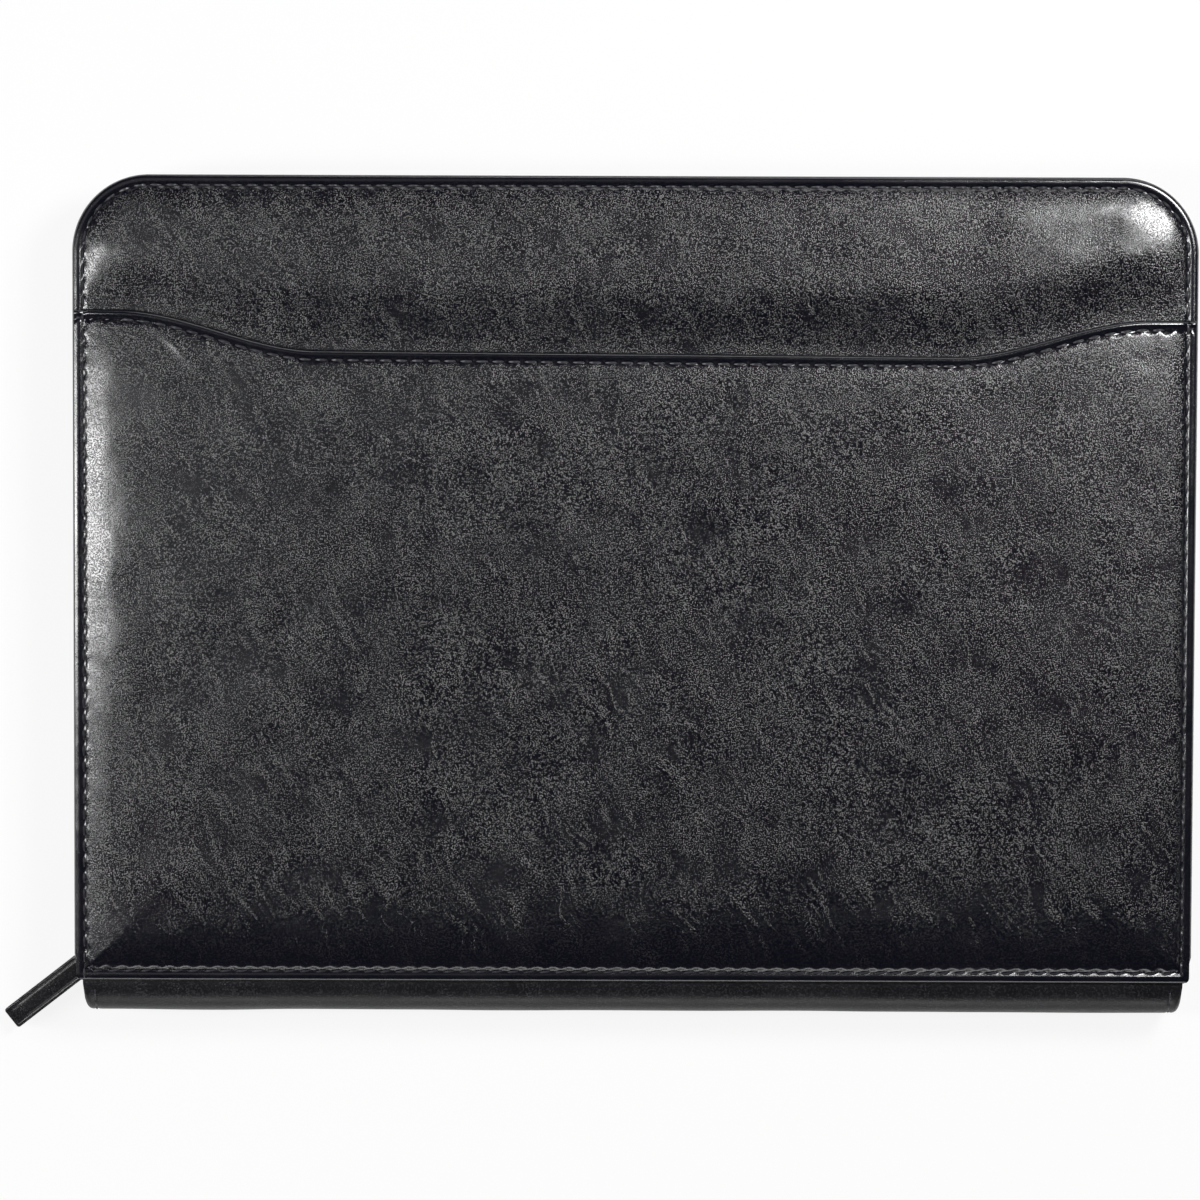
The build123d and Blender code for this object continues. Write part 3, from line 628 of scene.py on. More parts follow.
def stitches(centres, ways, heights, length=3.4, thick=0.78, side=1.0):
    """Spindles along each direction: radius and lift follow the square root and the arch of
    1 - t^2 along the stitch, so its ends sink into the needle holes."""
    t = np.linspace(-1, 1, thread_rings)
    turn = full_turn(thread_sides)
    radius = thick / 2 * np.sqrt(np.maximum(1 - (0.94 * t) ** 2, 0.05))
    lift = 0.42 * (1 - t ** 2) - 0.34
    along = np.repeat(t * length / 2, thread_sides)
    aside = (radius[:, None] * np.cos(turn)).ravel()
    up = (radius[:, None] * np.sin(turn) + lift[:, None]).ravel()
    normal = np.column_stack([-ways[:, 1], ways[:, 0]])
    flat = centres[:, None] + along[:, None] * ways[:, None] + aside[:, None] * normal[:, None]
    level = heights[:, None] + side * up
    points = np.concatenate([flat, level[..., None]], axis=-1).reshape(-1, 3)
    return points, copied_faces(tube_faces(thread_rings, thread_sides), len(t) * len(turn), len(centres))


def join_runs(runs):
    """One list of points and faces from several; each later run's faces count on from the earlier points."""
    starts = np.cumsum([0] + [len(p) for p, _ in runs[:-1]])
    return (np.concatenate([p for p, _ in runs]),
            np.concatenate([f + s for (_, f), s in zip(runs, starts)]))


print("thread", thread.name)

# %% Stitches on the front


def front_surface(x, y):
    """Height of the front at (x, y): the panel below the mouth, the cover's leather above it."""
    return np.where(y < mouth_y(x), panel_height(x, y), front_skin_height(x, y))


edge_at, edge_way = line_place((np.arange(int(seam_length / stitch_pitch)) + 0.5) * stitch_pitch,
                               seam_inset, seam_inset, fold_y)
mouth_x = (np.arange(-32, 33) + 0.5) * stitch_pitch
slope = np.gradient(mouth_y(mouth_x), mouth_x)
mouth_way = np.column_stack([np.ones_like(slope), slope]) / np.hypot(1, slope)[:, None]
mouth_at = np.column_stack([mouth_x, mouth_y(mouth_x) - hem_seam])
fold_lean = (0.985, 0.174)
fold_x = (np.arange(-34, 34) + 0.5) * stitch_pitch
fold_at = np.column_stack([fold_x, np.full_like(fold_x, fold_y + seam_inset)])
fold_way = np.tile(fold_lean, (len(fold_x), 1))
front_rows = ((edge_at, edge_way, 0.2), (mouth_at, mouth_way, 0.08), (fold_at, fold_way, 0.32))
front_stitches = join_runs([stitches(at, way, front_surface(at[:, 0], at[:, 1]) + lift)
                            for at, way, lift in front_rows])
make_piece("front_stitches", *front_stitches, thread, "front_cover", "bonded_leather")

# %% [markdown]
# The spine is a strip of smoother leather that bulges round the folded edges and is sewn under both
# covers. It bends along two lines when the case opens. It is made as two mirrored halves that meet at the
# middle of the spine: each half runs from the spine's middle round one folded edge and on under a cover.
# The strip's ends are turned in and held by a short row of stitches.

# %% The spine's leather and places
# The lighter #2a2a2d on the pebble tops is a painted highlight on the smooth black leather.
spine_leather = leather_finish("smooth_leather_satin_black", "#101014", "#2a2a2d", (0.3, 0.4), 0.02, 0.25)
joints = {joint["name"]: joint for joint in frame["record"]["behaviour"]["joints"]}
joint_place = {name: np.array(joint["pos_m"]) / mm for name, joint in joints.items() if "pos_m" in joint}
middle_z = (joint_place["front_fold"][2] + joint_place["back_fold"][2]) / 2
strip_low, strip_high = node_box("spine_strip")
strip_half, strip_radius, strip_thick = strip_high[0], 7.8, 1.2
arc_y, arc_z = strip_low[1] + strip_radius, joint_place["front_fold"][2] - strip_radius * math.sqrt(0.5)
strip_bulge, tongue, end_round, end_seam, end_groove = 9.9, 5.5, 4.2, 3.7, 0.35


def shell(outer, inner):
    """A closed sheet from two grids of the same shape: outer face, inner face turned over, and a rim."""
    rows, columns, _ = outer.shape
    border, count = grid_border(rows, columns), rows * columns
    faces = np.concatenate([grid_faces(rows, columns), grid_faces(rows, columns, count)[:, ::-1],
                            ring_faces([border, border + count])[:, ::-1]])
    return np.concatenate([outer.reshape(-1, 3), inner.reshape(-1, 3)]), faces


def upright(points, upper):
    """Points of the spine's upper half, or mirrored at its middle for the lower one."""
    return points if upper else points * [1, 1, -1] + [0, 0, 2 * middle_z]


def spine_half(depth):
    """Upper half of the strip at a depth below its outside: from the spine's middle up a quarter ellipse
    and on as a flat tongue under the cover. Near the ends the bulge closes in with a squarer curve,
    the fourth root of 1 - t^4."""
    x = spaced(-strip_half, strip_half, 0.3, 3.0, 7, 7)[None, :]
    turn = np.linspace(0, math.pi / 2, 22)[1:]
    rise = strip_radius - depth
    out = np.concatenate([[1, 1, 1], np.cos(turn), np.zeros(5)])[:, None]
    z = np.concatenate([np.linspace(middle_z, arc_z, 3), arc_z + rise * np.sin(turn),
                        np.full(5, arc_z + rise)])
    inwards = np.concatenate([np.zeros(3 + len(turn)), np.linspace(0, tongue, 6)[1:]])[:, None]
    end = np.clip((np.abs(x) - strip_half + end_round) / end_round, 0, 1)
    wave = 0.25 * soft_noise(x, z[:, None] * 3, 30, 11)
    groove = end_groove * bell(np.abs(x) - strip_half + end_seam, 0.55)
    bulge = (strip_bulge - depth + wave - groove) * (1 - 0.98 * end ** 4) ** 0.25
    y = arc_y + inwards - out * bulge
    return np.stack([np.repeat(x, len(z), axis=0), y, np.repeat(z[:, None], x.shape[1], axis=1)], axis=-1)


def spine_stitches():
    """Stitches across the strip near both ends: a spindle is turned to the tangent of the strip's
    quarter ellipse at three places and lifted along its normal."""
    one, faces = stitches(np.zeros((1, 2)), np.array([[1.0, 0.0]]), np.zeros(1), length=3.0, thick=0.7)
    turn = np.radians(np.tile([12.0, 38.5, 65.0], 2))
    side = np.repeat([-1.0, 1.0], 3)
    bulge = strip_bulge - end_groove
    centre = np.stack([side * (strip_half - end_seam), arc_y - bulge * np.cos(turn),
                       arc_z + strip_radius * np.sin(turn)], axis=-1)
    tangent = np.stack([0 * turn, bulge * np.sin(turn), strip_radius * np.cos(turn)], axis=-1)
    tangent /= np.linalg.norm(tangent, axis=1, keepdims=True)
    normal = np.stack([0 * turn, -tangent[:, 2], tangent[:, 1]], axis=-1)
    points = (centre[:, None] + one[:, :1] * tangent[:, None] - one[:, 1:2] * np.array([1.0, 0, 0])
              + (one[:, 2:] + 0.05) * normal[:, None])
    return points.reshape(-1, 3), copied_faces(faces, len(one), len(turn))


# %% Spine leather
strip_points, strip_faces = shell(spine_half(0), spine_half(strip_thick))
sewing_points, sewing_faces = spine_stitches()
for end, replaced in (("front", ("spine_strip", "front_hinge_flange")), ("back", ("back_hinge_flange",))):
    upper = end == "front"
    half = make_piece(f"spine_leather_{end}", upright(strip_points, upper), strip_faces, spine_leather, None,
                      "smooth_leather", replaced)
    sewing = make_piece(f"spine_stitches_{end}", upright(sewing_points, upper), sewing_faces, thread, None,
                        "smooth_leather")
    for piece in (half, sewing):
        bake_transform(piece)

# %% [markdown]
# The zip's pull tab is two layers of leather round a metal eyelet. The outline is a round nose that
# widens to a strip. Each layer is a fan of lines from the eyelet's hole to that outline, and the
# distance to the outline gives its rounded edge and the pressed line that runs round it.

# %% Outline of the pull tab
eyelet_at, turn_axis = joint_place["tab_lift"], np.array(joints["tab_lift"]["axis"])
level_way = np.array([-turn_axis[1], turn_axis[0], 0.0])
tab_droop, tab_length, tab_half, tab_nose = math.radians(14), 32.5, 3.6, 3.0
tab_layer, tab_hole, tab_flat, tab_corner, tab_edge = 1.2, 1.95, 2.7, 0.9, 0.55
tab_way = level_way * math.cos(tab_droop) - np.array([0, 0, math.sin(tab_droop)])
tab_side = np.cross([0, 0, 1], level_way)
tab_up = np.cross(tab_way, tab_side)


def tab_half_width(u):
    """Half width along the tab: the nose's circle, an eased widening to the strip, round end corners."""
    nose = np.sqrt(np.maximum(tab_nose ** 2 - np.minimum(u, 0) ** 2, 0))
    end = np.clip((u - tab_length + tab_corner) / tab_corner, 0, 1)
    return nose + (tab_half - tab_nose) * ease(u / 3.5) - tab_corner * (1 - np.sqrt(1 - end ** 2))


def tab_outline():
    """Points round the tab: one side from nose to end, across the end, and back along the other side."""
    nose = -tab_nose * np.cos(np.linspace(0, math.pi / 2, 12))
    corner = tab_length - tab_corner * (1 - np.sin(np.linspace(0.2, math.pi / 2, 7)))
    u = np.concatenate([nose, np.linspace(0.4, 3.6, 8), np.linspace(4.4, tab_length - 1, 36), corner])
    v = tab_half_width(u)
    end = np.column_stack([np.full(7, tab_length), np.linspace(v[-1], -v[-1], 9)[1:-1]])
    return np.concatenate([np.column_stack([u, v]), end, np.column_stack([u, -v])[:0:-1]])


print("tab outline", len(tab_outline()), "points")

# %% Pull tab


def tab_layer_points(side):
    """Rings from the hole's foot up to its rim, out to the outline, down its edge and back to the hole, with
    heights over the tab's middle plane: a rounded edge, a slight crown and a pressed line along the edge."""
    outline = tab_outline()
    angle = np.arctan2(outline[:, 1], outline[:, 0])
    hole = tab_hole * np.column_stack([np.cos(angle), np.sin(angle)])
    share = 1 - np.linspace(1, 0, 26) ** 2.2
    flat = hole + share[:, None, None] * (outline - hole)
    gap = np.linalg.norm(flat[:, :, None] - outline, axis=-1).min(axis=2)
    lift = (tab_layer + quarter_round(gap, tab_edge) + 0.22 * (1 - np.exp(-gap / 1.6))
            - 0.26 * bell(gap - 1.25, 0.28))
    lift = np.where(np.hypot(flat[..., 0], flat[..., 1]) < tab_flat, tab_layer, lift)
    foot = np.full((1, len(outline)), 0.04)
    layer = np.concatenate([hole[None], flat, outline[None]])
    heights = np.concatenate([foot, lift, foot]) * side
    place = eyelet_at + layer[..., :1] * tab_way + layer[..., 1:] * tab_side + heights[..., None] * tab_up
    return place, ring_faces(np.arange(heights.size).reshape(heights.shape), joined=True)


for name, side in (("upper", 1), ("lower", -1)):
    make_piece(f"pull_tab_{name}_leather", *tab_layer_points(side), spine_leather, "pull_tab",
               "bonded_leather", (f"pull_tab_{name}",), sharp=60)

# %% [markdown]
# Zip sliders are die-cast zinc with a black nickel plate: a dark grey mirror, slightly clouded, with
# fine pits. The slider, bail, eyelet and end stops keep their CAD shapes. The wire loop is round wire,
# so it is swept again with a round section along a rounded rectangle.

# %% Black nickel
gunmetal, tree, shader, place = start_material("black_nickel_plate", 0.28, Metallic=1.0)
cloud = add_node(tree, "TexNoise", {"Vector": place, "Scale": per_mm(1.6), "Detail": 3.0})
pits = add_node(tree, "TexNoise", {"Vector": place, "Scale": per_mm(0.25), "Detail": 2.0})
paint(tree, shader, cloud.outputs["Fac"], "#4a4a4e", "#7c7c80", pits.outputs["Fac"], 0.01, 0.3)
shine = add_node(tree, "MapRange", {0: cloud.outputs["Fac"], 1: 0.3, 2: 0.7, 3: 0.2, 4: 0.38})
tree.links.new(shine.outputs[0], shader.inputs["Roughness"])


def dress(material, *nodes):
    """Gives CAD nodes that keep their shape a procedural material."""
    for node in nodes:
        frame["nodes"][node].data.materials.clear()
        frame["nodes"][node].data.materials.append(material)
    print(material.name, "on", nodes)


dress(gunmetal, "slider_body", "slider_bail", "pull_tab_eyelet", "front_zip_stops", "back_zip_stops")

# %% Wire loop
loop_length, loop_half, loop_wire, loop_square = 7.0, 3.0, 0.62, 4.5
loop_steps, wire_sides = 96, 12


def squared_circle(angle, power):
    """A circle drawn out towards a square: its radius is (|cos|^p + |sin|^p)^(-1/p)."""
    radius = (np.abs(np.cos(angle)) ** power + np.abs(np.sin(angle)) ** power) ** (-1 / power)
    return np.column_stack([np.cos(angle), np.sin(angle)]) * radius[:, None]


path = squared_circle(full_turn(loop_steps), loop_square) * [loop_length / 2, loop_half]
path = path + [loop_length / 2, 0]
path_way = np.roll(path, -1, axis=0) - np.roll(path, 1, axis=0)
path_way /= np.linalg.norm(path_way, axis=1, keepdims=True)
path_out = np.column_stack([path_way[:, 1], -path_way[:, 0]])
section = full_turn(wire_sides)
flat = path[:, None] + loop_wire * np.cos(section)[:, None] * path_out[:, None]
loop_points = (joint_place["pull_swing"] + flat[..., :1] * level_way + flat[..., 1:] * np.array([0, 0, 1.0])
               + loop_wire * np.sin(section)[:, None] * np.cross(level_way, [0, 0, 1]))
loop_faces = ring_faces(np.arange(loop_steps * wire_sides).reshape(loop_steps, wire_sides), joined=True)
make_piece("pull_loop_wire", loop_points, loop_faces, gunmetal, "pull_loop", "gunmetal", ("pull_loop",),
           sharp=80)

# %% [markdown]
# The back cover is wrapped like the front, but it lies on a table, so its padded field is pressed flat
# and only the sewn border stands back from it. It is worked out upside down, as a height over the flat
# field, and then mirrored.

# %% Back cover leather
back_shell = node_box("back_skin")[1][2]
back_rows = np.concatenate([spaced(fold_y, zip_y - corner_radius, 0.6, 3.0, 9, 0)[:-1], arc_rows])
back_y = np.repeat(back_rows[:, None], len(across), axis=1)
back_x = across[None, :] * half_width_at(back_y)
back_rise = 0.7


def back_skin_height(x, y):
    """Height of the upturned back: 0 on its flat field, lower on the sewn border round it."""
    distance = edge_distance(x, y)
    run = np.where(y < fold_y + fold_zone, x, seam_run(x, y))
    return sewn_edge(distance, run) + padding(distance, back_rise, 0.0) - back_rise


back_leather = closed_cover(
    np.stack([back_x, back_y, back_skin_height(back_x, back_y)], axis=-1),
    pressed_share(edge_distance(back_x, back_y), seam_inset),
    [(draw, level - back_shell) for draw, level in turn_in],
    "back_cover_leather", material=cover_leather, body="back_cover", slot="bonded_leather",
    replaced=("back_skin",), turned=True)
back_at, back_way = np.concatenate([edge_at, fold_at]), np.concatenate([edge_way, fold_way])
back_level = -back_skin_height(back_at[:, 0], back_at[:, 1]) - 0.25
make_piece("back_stitches", *stitches(back_at, back_way, back_level, side=-1.0), thread, "back_cover",
           "bonded_leather")

# %% [markdown]
# Zip tape is a tightly woven polyester ribbon with a fine rib across it. It is sewn flat under the
# cover's edge and turns to stand upright where the teeth are. Its section is carried round the cover's
# outline, and each row of tape carries a UV map in real size so that the ribs follow it.

# %% Woven tape
zip_tape, tree, shader, place = start_material("woven_polyester_zip_tape", 0.75)
uv = place.node.outputs["UV"]
rib = add_node(tree, "TexWave", {"Vector": uv, "Scale": per_band(0.8), "Distortion": 0.4,
                                           "Detail": 1.0, "Detail Scale": 4.0}, bands_direction="X")
pick = add_node(tree, "TexWave", {"Vector": uv, "Scale": per_band(1.1), "Distortion": 0.3},
                bands_direction="Y")
weave = add_node(tree, "Math", {0: rib.outputs["Fac"], 1: pick.outputs["Fac"]}, operation="MULTIPLY")
paint(tree, shader, weave.outputs[0], "#0a0a0c", "#26262a", weave.outputs[0], 0.12, 0.8)
print("tape", zip_tape.name)

# %% Zip tape
chain_inset, tape_hem, tape_bend, tape_upright, tape_half, bead = 11.5, 2.6, 1.9, 6.3, 0.3, 1.9
tape_low_y = node_box("back_zip_tape")[0][1]
chain_length = line_lengths(chain_inset, tape_low_y)[2]
tape_run = spaced(0, chain_length, 1.2, 2.0, 4, 4)


def tape_section():
    """Inset and height along the tape, and its normal: flat under the cover, a round bend, then upright."""
    turn = np.linspace(0, math.pi / 2, 9)
    bend_from = chain_inset - tape_bend
    inset = np.concatenate([np.linspace(tape_hem, bend_from, 8)[:-1], bend_from + tape_bend * np.sin(turn),
                            np.full(7, chain_inset)])
    rise = np.concatenate([np.zeros(7), tape_bend * (1 - np.cos(turn)),
                           np.linspace(tape_bend, tape_upright, 8)[1:]])
    return (inset, rise, np.concatenate([np.zeros(7), np.sin(turn), np.ones(7)]),
            np.concatenate([np.ones(7), np.cos(turn), np.zeros(7)]))


def add_uv(piece, coordinates):
    """Gives every point of a piece a UV coordinate, in metres along and across it."""
    corner = np.empty(len(piece.data.loops), dtype=np.int32)
    piece.data.loops.foreach_get("vertex_index", corner)
    values = (coordinates * mm)[corner].astype(np.float32)
    piece.data.uv_layers.new(name="UVMap").data.foreach_set("uv", values.ravel())


def make_tape(name, body, level, way, replaced):
    """The tape's two faces, 0.6 mm apart with a thicker bead at the free edge, carried round the outline;
    way is +1 upwards, -1 downwards."""
    inset, rise, normal_in, normal_up = tape_section()
    sides = []
    for offset in (-tape_half, tape_half):
        swell = np.where(np.arange(len(inset)) > len(inset) - 4, bead, 1.0) * offset
        run, deep = np.meshgrid(tape_run, inset + swell * normal_in, indexing="ij")
        place, _ = line_place(run, deep, chain_inset, tape_low_y)
        z = np.broadcast_to(level + way * (rise + tape_half - swell * normal_up), run.shape)
        sides.append(np.concatenate([place, z[..., None]], axis=-1))
    piece = make_piece(name, *shell(*sides), zip_tape, body, "zip_tape", replaced, sharp=70)
    measure = np.concatenate([[0], np.cumsum(np.hypot(np.diff(inset), np.diff(rise)))])
    along, over = np.meshgrid(tape_run, measure, indexing="ij")
    add_uv(piece, np.tile(np.stack([along, over], axis=-1).reshape(-1, 2), (2, 1)))


make_tape("back_tape_woven", "back_cover", back_shell, 1, ("back_zip_tape",))
make_tape("front_tape_woven", "front_cover", front_shell, -1, ("front_zip_tape",))

# %% [markdown]
# The teeth are moulded blocks of acetal, a hard, waxy plastic with a soft shine, clamped on the edge of
# each tape. They interlock, so the two rows are half a pitch apart. One tooth is a small stack of rounded
# squares: a wide foot, a narrow neck and a rounded head. All teeth of a row are placed at once along the
# chain line.

# %% Zip teeth
acetal, tree, shader, place = start_material("moulded_acetal_black", 0.36, IOR=1.48)
speck = add_node(tree, "TexNoise", {"Vector": place, "Scale": per_mm(0.8), "Detail": 2.0})
paint(tree, shader, speck.outputs["Fac"], "#111113", "#242427")
tooth_pitch, tooth_size, tooth_foot, tooth_head, chain_end = 3.0, 1.12, 1.6, 0.8, 4.0
tooth_share = np.array([0.0, 0.06, 0.42, 0.62, 0.93, 1.0])
tooth_long = np.array([0.45, 0.62, 0.62, 0.48, 0.6, 0.42])
tooth_wide = np.array([0.85, 1.0, 1.0, 0.82, 0.95, 0.7])
slider_low, slider_high = node_box("slider_body")
chain_z = (slider_low[2] + slider_high[2]) / 2
first_run = slider_high[1] + tooth_pitch / 2 - tape_low_y


def make_teeth(name, body, way, offset, replaced):
    """Rounded squares stacked from foot to head, upwards where way is +1; each tooth stands across the
    chain at its own run."""
    square = tooth_size * squared_circle(full_turn(8) + math.pi / 8, 4)
    run = np.arange(first_run + offset, chain_length - chain_end, tooth_pitch)
    along = (tooth_long[:, None] * square[:, 0]).ravel()
    over = (tooth_wide[:, None] * square[:, 1]).ravel()
    level = chain_z + way * np.repeat(tooth_share * (tooth_foot + tooth_head) - tooth_foot, 8)
    place, _ = line_place(run[:, None] + along, chain_inset + over[None, :], chain_inset, tape_low_y)
    points = np.concatenate([place, np.broadcast_to(level, place.shape[:2])[..., None]], axis=-1)
    faces = copied_faces(tube_faces(6, 8), len(level), len(run))
    make_piece(name, points, faces, acetal, body, "zip_teeth", replaced, sharp=50)


make_teeth("back_teeth_moulded", "back_cover", 1, 0.0, ("back_zip_teeth",))
make_teeth("front_teeth_moulded", "front_cover", -1, tooth_pitch / 2, ("front_zip_teeth",))

# %% [markdown]
# The inside is lined with woven nylon, a plain weave with a faint sheen. Its threads are finer than a
# pixel, so they are drawn a little coarser than they are. The linings are thin sheets stretched over
# the boards, cut to the cover's outline less the zip tape's width.

# %% Woven nylon
nylon, tree, shader, place = start_material("woven_nylon_lining", 0.6, Sheen_Weight=0.15, Sheen_Roughness=0.4)
warp, weft = [add_node(tree, "TexWave",
                       {"Vector": place, "Scale": per_band(0.7), "Distortion": 0.6, "Detail": 1.0,
                        "Detail Scale": 3.0}, bands_direction=way) for way in ("X", "Y")]
cross = add_node(tree, "Math", {0: warp.outputs["Fac"], 1: weft.outputs["Fac"]}, operation="MULTIPLY")
patch = add_node(tree, "TexNoise", {"Vector": place, "Scale": per_mm(18), "Detail": 3.0})
tone = add_node(tree, "Math", {0: patch.outputs["Fac"], 1: 0.5, 2: cross.outputs[0]},
                operation="MULTIPLY_ADD")
paint(tree, shader, tone.outputs[0], "#131316", "#303035", cross.outputs[0], 0.1, 0.7)
print("nylon", nylon.name)

# %% Linings
lining_step = 4.0


def inset_grid(inset, low_y):
    """Rows and columns over the cover's outline drawn in by inset, from low_y up to the zip edge."""
    reach, high = corner_radius - inset, zip_y - inset
    y = np.concatenate([np.arange(low_y, high - reach - lining_step / 2, lining_step),
                        high - reach + reach * np.sin(np.linspace(0, math.pi / 2, 16))])[:, None]
    up = np.clip(y - high + reach, 0, reach)
    half = half_width - inset - reach + np.sqrt(reach ** 2 - up ** 2)
    x = np.linspace(-1, 1, int(2 * half_width / lining_step))[None, :] * half
    return x, np.broadcast_to(y, x.shape)


def sheet_shell(x, y, lift, low, high, shown):
    """A closed sheet as thick as its node's box; lift is added to the face that shows, which looks up
    where shown is +1 and down where it is -1."""
    face, back = (high[2], low[2]) if shown > 0 else (low[2], high[2])
    return shell(np.stack([x, y, face + shown * lift], -1), np.stack([x, y, np.full_like(x, back)], -1))


def make_lining(node, body, shown, seed):
    """A cloth as thick as the node, drawn tight over its board, with a slight ripple."""
    low, high = node_box(node)
    x, y = inset_grid(zip_y - high[1], low[1])
    made = sheet_shell(x, y, 0.05 * soft_noise(x, y, 30, seed) - 0.06, low, high, shown)
    piece = make_piece(f"{node}_cloth", *made, nylon, body, "lining_cloth", (node,))


make_lining("front_lining", "front_cover", -1, 21)
make_lining("back_lining", "back_cover", 1, 22)

# %% [markdown]
# Flat pockets hang on the linings: a document pocket and three stepped card pockets in the front, and
# the sleeve that holds the pad's backing in the back. Each is one sheet with a pressed edge and a stitched
# line along its three sewn sides; all but the sleeve have a rolled hem at the mouth.

# %% Inner pockets
pocket_seam, pocket_edge = 2.4, 0.3


def pocket_lift(x, y, low, high, mouth, hem, crown):
    """Height of a pocket's face: rounded edge, a stitched dip along the sewn sides, a slight crown and
    a bead at the mouth, which is one of the sides -x, +x, -y, +y."""
    gaps = {"-x": x - low[0], "+x": high[0] - x, "-y": y - low[1], "+y": high[1] - y}
    opening = gaps.pop(mouth)
    sewn = np.minimum.reduce(list(gaps.values()))
    return (quarter_round(np.minimum(sewn, opening), pocket_edge)
            - 0.22 * bell(sewn - pocket_seam, 0.45) * (opening > 1.0)
            + hem * bell(opening - 1.1, 0.8) - 0.2 * bell(opening - 2.6, 0.4)
            + crown * np.clip(sewn / 12, 0, 1) * np.clip(opening / 12, 0, 1) - 0.08)


def make_pocket(node, mouth, material, slot, body, shown, hem=0.3, crown=0.12):
    """One sheet of the node's size, laid on what carries it."""
    low, high = node_box(node)
    x, y = np.meshgrid(spaced(low[0], high[0], 0.45, 3.0, 4, 4), spaced(low[1], high[1], 0.45, 3.0, 4, 4))
    made = sheet_shell(x, y, pocket_lift(x, y, low, high, mouth, hem, crown), low, high, shown)
    piece = make_piece(f"{node}_sheet", *made, material, body, slot, (node,))


# The lighter #2c2c2f on the pebble tops is a painted highlight on the matt black leather.
pocket_leather = leather_finish("pocket_leather_matt_black", "#0c0c0f", "#2c2c2f", (0.42, 0.55), 0.04, 0.2)
make_pocket("document_pocket", "-x", nylon, "lining_cloth", "front_cover", -1)
for number in (1, 2, 3):
    make_pocket(f"card_pocket_{number}", "+y", pocket_leather, "bonded_leather", "front_cover", -1)
make_pocket("pad_sleeve", "-x", nylon, "lining_cloth", "back_cover", 1, hem=0.0, crown=0.0)

# %% [markdown]
# The spine's inside is a strip of the same lining, and the pen loop is a band of woven elastic sewn to
# it. Elastic shows close ribs, which run round the loop here and follow each other along it.

# %% Spine lining
low, high = node_box("spine_lining")
x, z = np.meshgrid(spaced(low[0], high[0], 0.6, 4.0, 4, 4), np.linspace(low[2], high[2], 17))
swell = 0.15 * np.sin(math.pi * (z - low[2]) / (high[2] - low[2])) + 0.05 * soft_noise(x, z, 14, 23)
made = shell(np.stack([x, np.full_like(x, low[1]), z], -1), np.stack([x, high[1] + swell, z], -1))
spine_cloth = make_piece("spine_lining_cloth", *made, nylon, "spine", "lining_cloth", ("spine_lining",))

# %% Pen loop
elastic, tree, shader, place = start_material("woven_elastic_black", 0.8, Sheen_Weight=0.2)
rib = add_node(tree, "TexWave", {"Vector": place, "Scale": per_band(1.1), "Distortion": 0.3},
               bands_direction="X")
paint(tree, shader, rib.outputs["Fac"], "#09090b", "#2a2a2e", rib.outputs["Fac"], 0.15, 0.9)

pen_sides, pen_steps, loop_wall = 48, 31, 0.9
low, high = node_box("pen_loop")
pen_radius = (high[2] - low[2]) / 2
pen_y, pen_z = high[1] - pen_radius, (high[2] + low[2]) / 2
outside = np.linspace(low[0], high[0], pen_steps)
swell = 0.18 * np.sin(np.linspace(0, math.pi, pen_steps))
along = np.concatenate([outside, outside[::-1]])
radius = np.concatenate([pen_radius + swell - 0.1, (pen_radius - loop_wall + swell)[::-1]])
turn = full_turn(pen_sides)[:, None]
pen_points = np.stack([np.broadcast_to(along, (pen_sides, along.size)), pen_y + radius * np.cos(turn),
                       pen_z + radius * np.sin(turn)], -1)
pen_faces = ring_faces(np.arange(pen_sides * along.size).reshape(pen_sides, -1), joined=True)
make_piece("pen_loop_elastic", pen_points, pen_faces, elastic, "spine", "elastic", ("pen_loop",))

# %% [markdown]
# The ends of the zip tapes are closed by small leather patches. Each is a little cushion: a sphere's
# angles carried onto a box by raising its sines and cosines to a small power.

# %% Tape end patches
patch_thick, patch_power, patch_rings, patch_sides = 1.0, 0.35, 7, 16


def squared(value):
    """A sine or cosine raised to a small power, with its sign kept, so that a circle fills its square."""
    return np.sign(value) * np.abs(value) ** patch_power


def patch_shape(low, high):
    """Superellipsoid that fills a box: signed powers of the cosine and sine of two angles."""
    lift = np.linspace(-math.pi / 2, math.pi / 2, patch_rings + 2)[1:-1, None]
    turn = full_turn(patch_sides)[None, :]
    unit = np.stack([squared(np.cos(lift)) * squared(np.cos(turn)),
                     squared(np.cos(lift)) * squared(np.sin(turn)),
                     np.broadcast_to(squared(np.sin(lift)), (patch_rings, patch_sides))], -1)
    points = (low + high) / 2 + unit * (high - low) / 2
    return points.reshape(-1, 3), tube_faces(patch_rings, patch_sides)


for body in ("front_cover", "back_cover"):
    node = body.replace("cover", "tape_end_tabs")
    low, high = node_box(node)
    inner_low, inner_high = low.copy(), high.copy()
    inner_high[0], inner_low[0] = low[0] + patch_thick, high[0] - patch_thick
    make_piece(f"{node}_leather", *join_runs([patch_shape(low, inner_high), patch_shape(inner_low, high)]),
               spine_leather, body, "smooth_leather", (node,))

# %% [markdown]
# The writing pad keeps its CAD shape, because a stack of paper is a plain block. What makes it paper is
# the finish: ruled lines on its face, a margin line, and bands down its sides, where painted shade between
# the sheets draws their edges. The boards are grey chipboard with short fibres, and the foam is a pale
# open-cell sheet.

# %% Board and foam


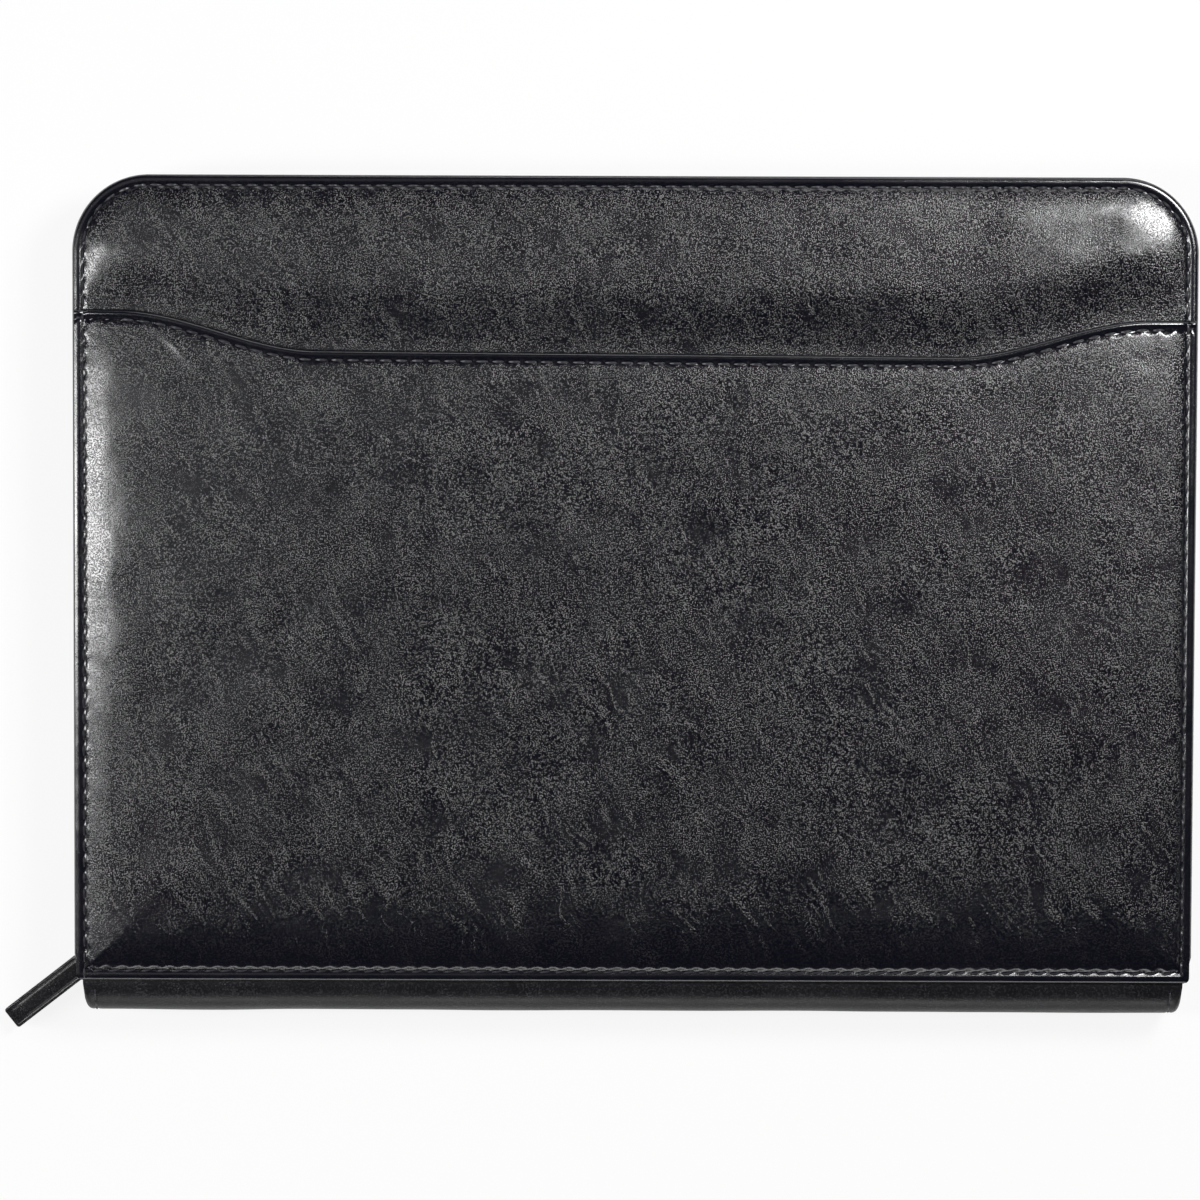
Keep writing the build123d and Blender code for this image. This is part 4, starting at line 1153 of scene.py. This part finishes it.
def pulp_finish(name, dark, light, grit, roughness):
    """Felted fibres: a noise drawn out along one axis, as wide as the grit in millimetres."""
    made, tree, shader, place = start_material(name, roughness)
    drawn = add_node(tree, "Mapping", {"Vector": place, "Scale": (1, 0.35, 1)})
    fibre = add_node(tree, "TexNoise", {"Vector": drawn.outputs[0], "Scale": per_mm(grit), "Detail": 4.0})
    tone = paint(tree, shader, fibre.outputs["Fac"], dark, light, fibre.outputs["Fac"], 0.05, 0.4)
    return made, tree, shader, place, tone


chipboard, *_ = pulp_finish("grey_chipboard", "#6f6a60", "#a49d90", 1.2, 0.85)
dress(chipboard, "front_board", "back_board", "spine_stiffener", "pad_backing", "pad_binding")
foam, *_ = pulp_finish("open_cell_foam", "#5f5f62", "#9a9a9d", 0.8, 0.95)
dress(foam, "front_foam", "back_foam")

# %% Ruled paper
paper, tree, shader, place, page = pulp_finish("uncoated_ruled_paper", "#dcdad1", "#e9e7df", 0.9, 0.9)
pad_low, pad_high = node_box("paper_block")
ruling, line_width, margin_at, leaf = 7.1, 0.35, pad_high[1] - 32, 0.3
axes = add_node(tree, "SeparateXYZ", {0: place})
ruled = add_node(tree, "Math", {0: axes.outputs["X"], 1: ruling * mm}, operation="PINGPONG")
on_line = add_node(tree, "Math", {0: ruled.outputs[0], 1: line_width * mm / 2}, operation="LESS_THAN")
on_margin = add_node(tree, "Math",
                     {0: axes.outputs["Y"], 1: margin_at * mm, 2: line_width * mm / 2}, operation="COMPARE")
on_top = add_node(tree, "Math", {0: axes.outputs["Z"], 1: (pad_high[2] - 0.05) * mm},
                  operation="GREATER_THAN")
for mask, ink in ((on_line, "#9fb4cc"), (on_margin, "#c98f92")):
    shown = add_node(tree, "Math", {0: mask.outputs[0], 1: on_top.outputs[0]}, operation="MULTIPLY")
    page = add_node(tree, "Mix", {0: shown.outputs[0], 6: page, 7: linear(ink)},
                    data_type="RGBA").outputs[2]
# Down the pad's sides, the grey #b9b7ae bands are painted shade in the gaps between the sheets.
leaves_and_shade = add_node(tree, "TexWave", {"Vector": place, "Scale": per_band(leaf), "Distortion": 0.5},
                  bands_direction="Z")
stack = add_node(tree, "Mix", {0: leaves_and_shade.outputs["Fac"], 6: linear("#b9b7ae"), 7: page}, data_type="RGBA")
pad = add_node(tree, "Mix", {0: on_top.outputs[0], 6: stack.outputs[2], 7: page}, data_type="RGBA")
tree.links.new(pad.outputs[2], shader.inputs["Base Color"])
dress(paper, "paper_block")
print("pad", (pad_high - pad_low).round(1), "mm")
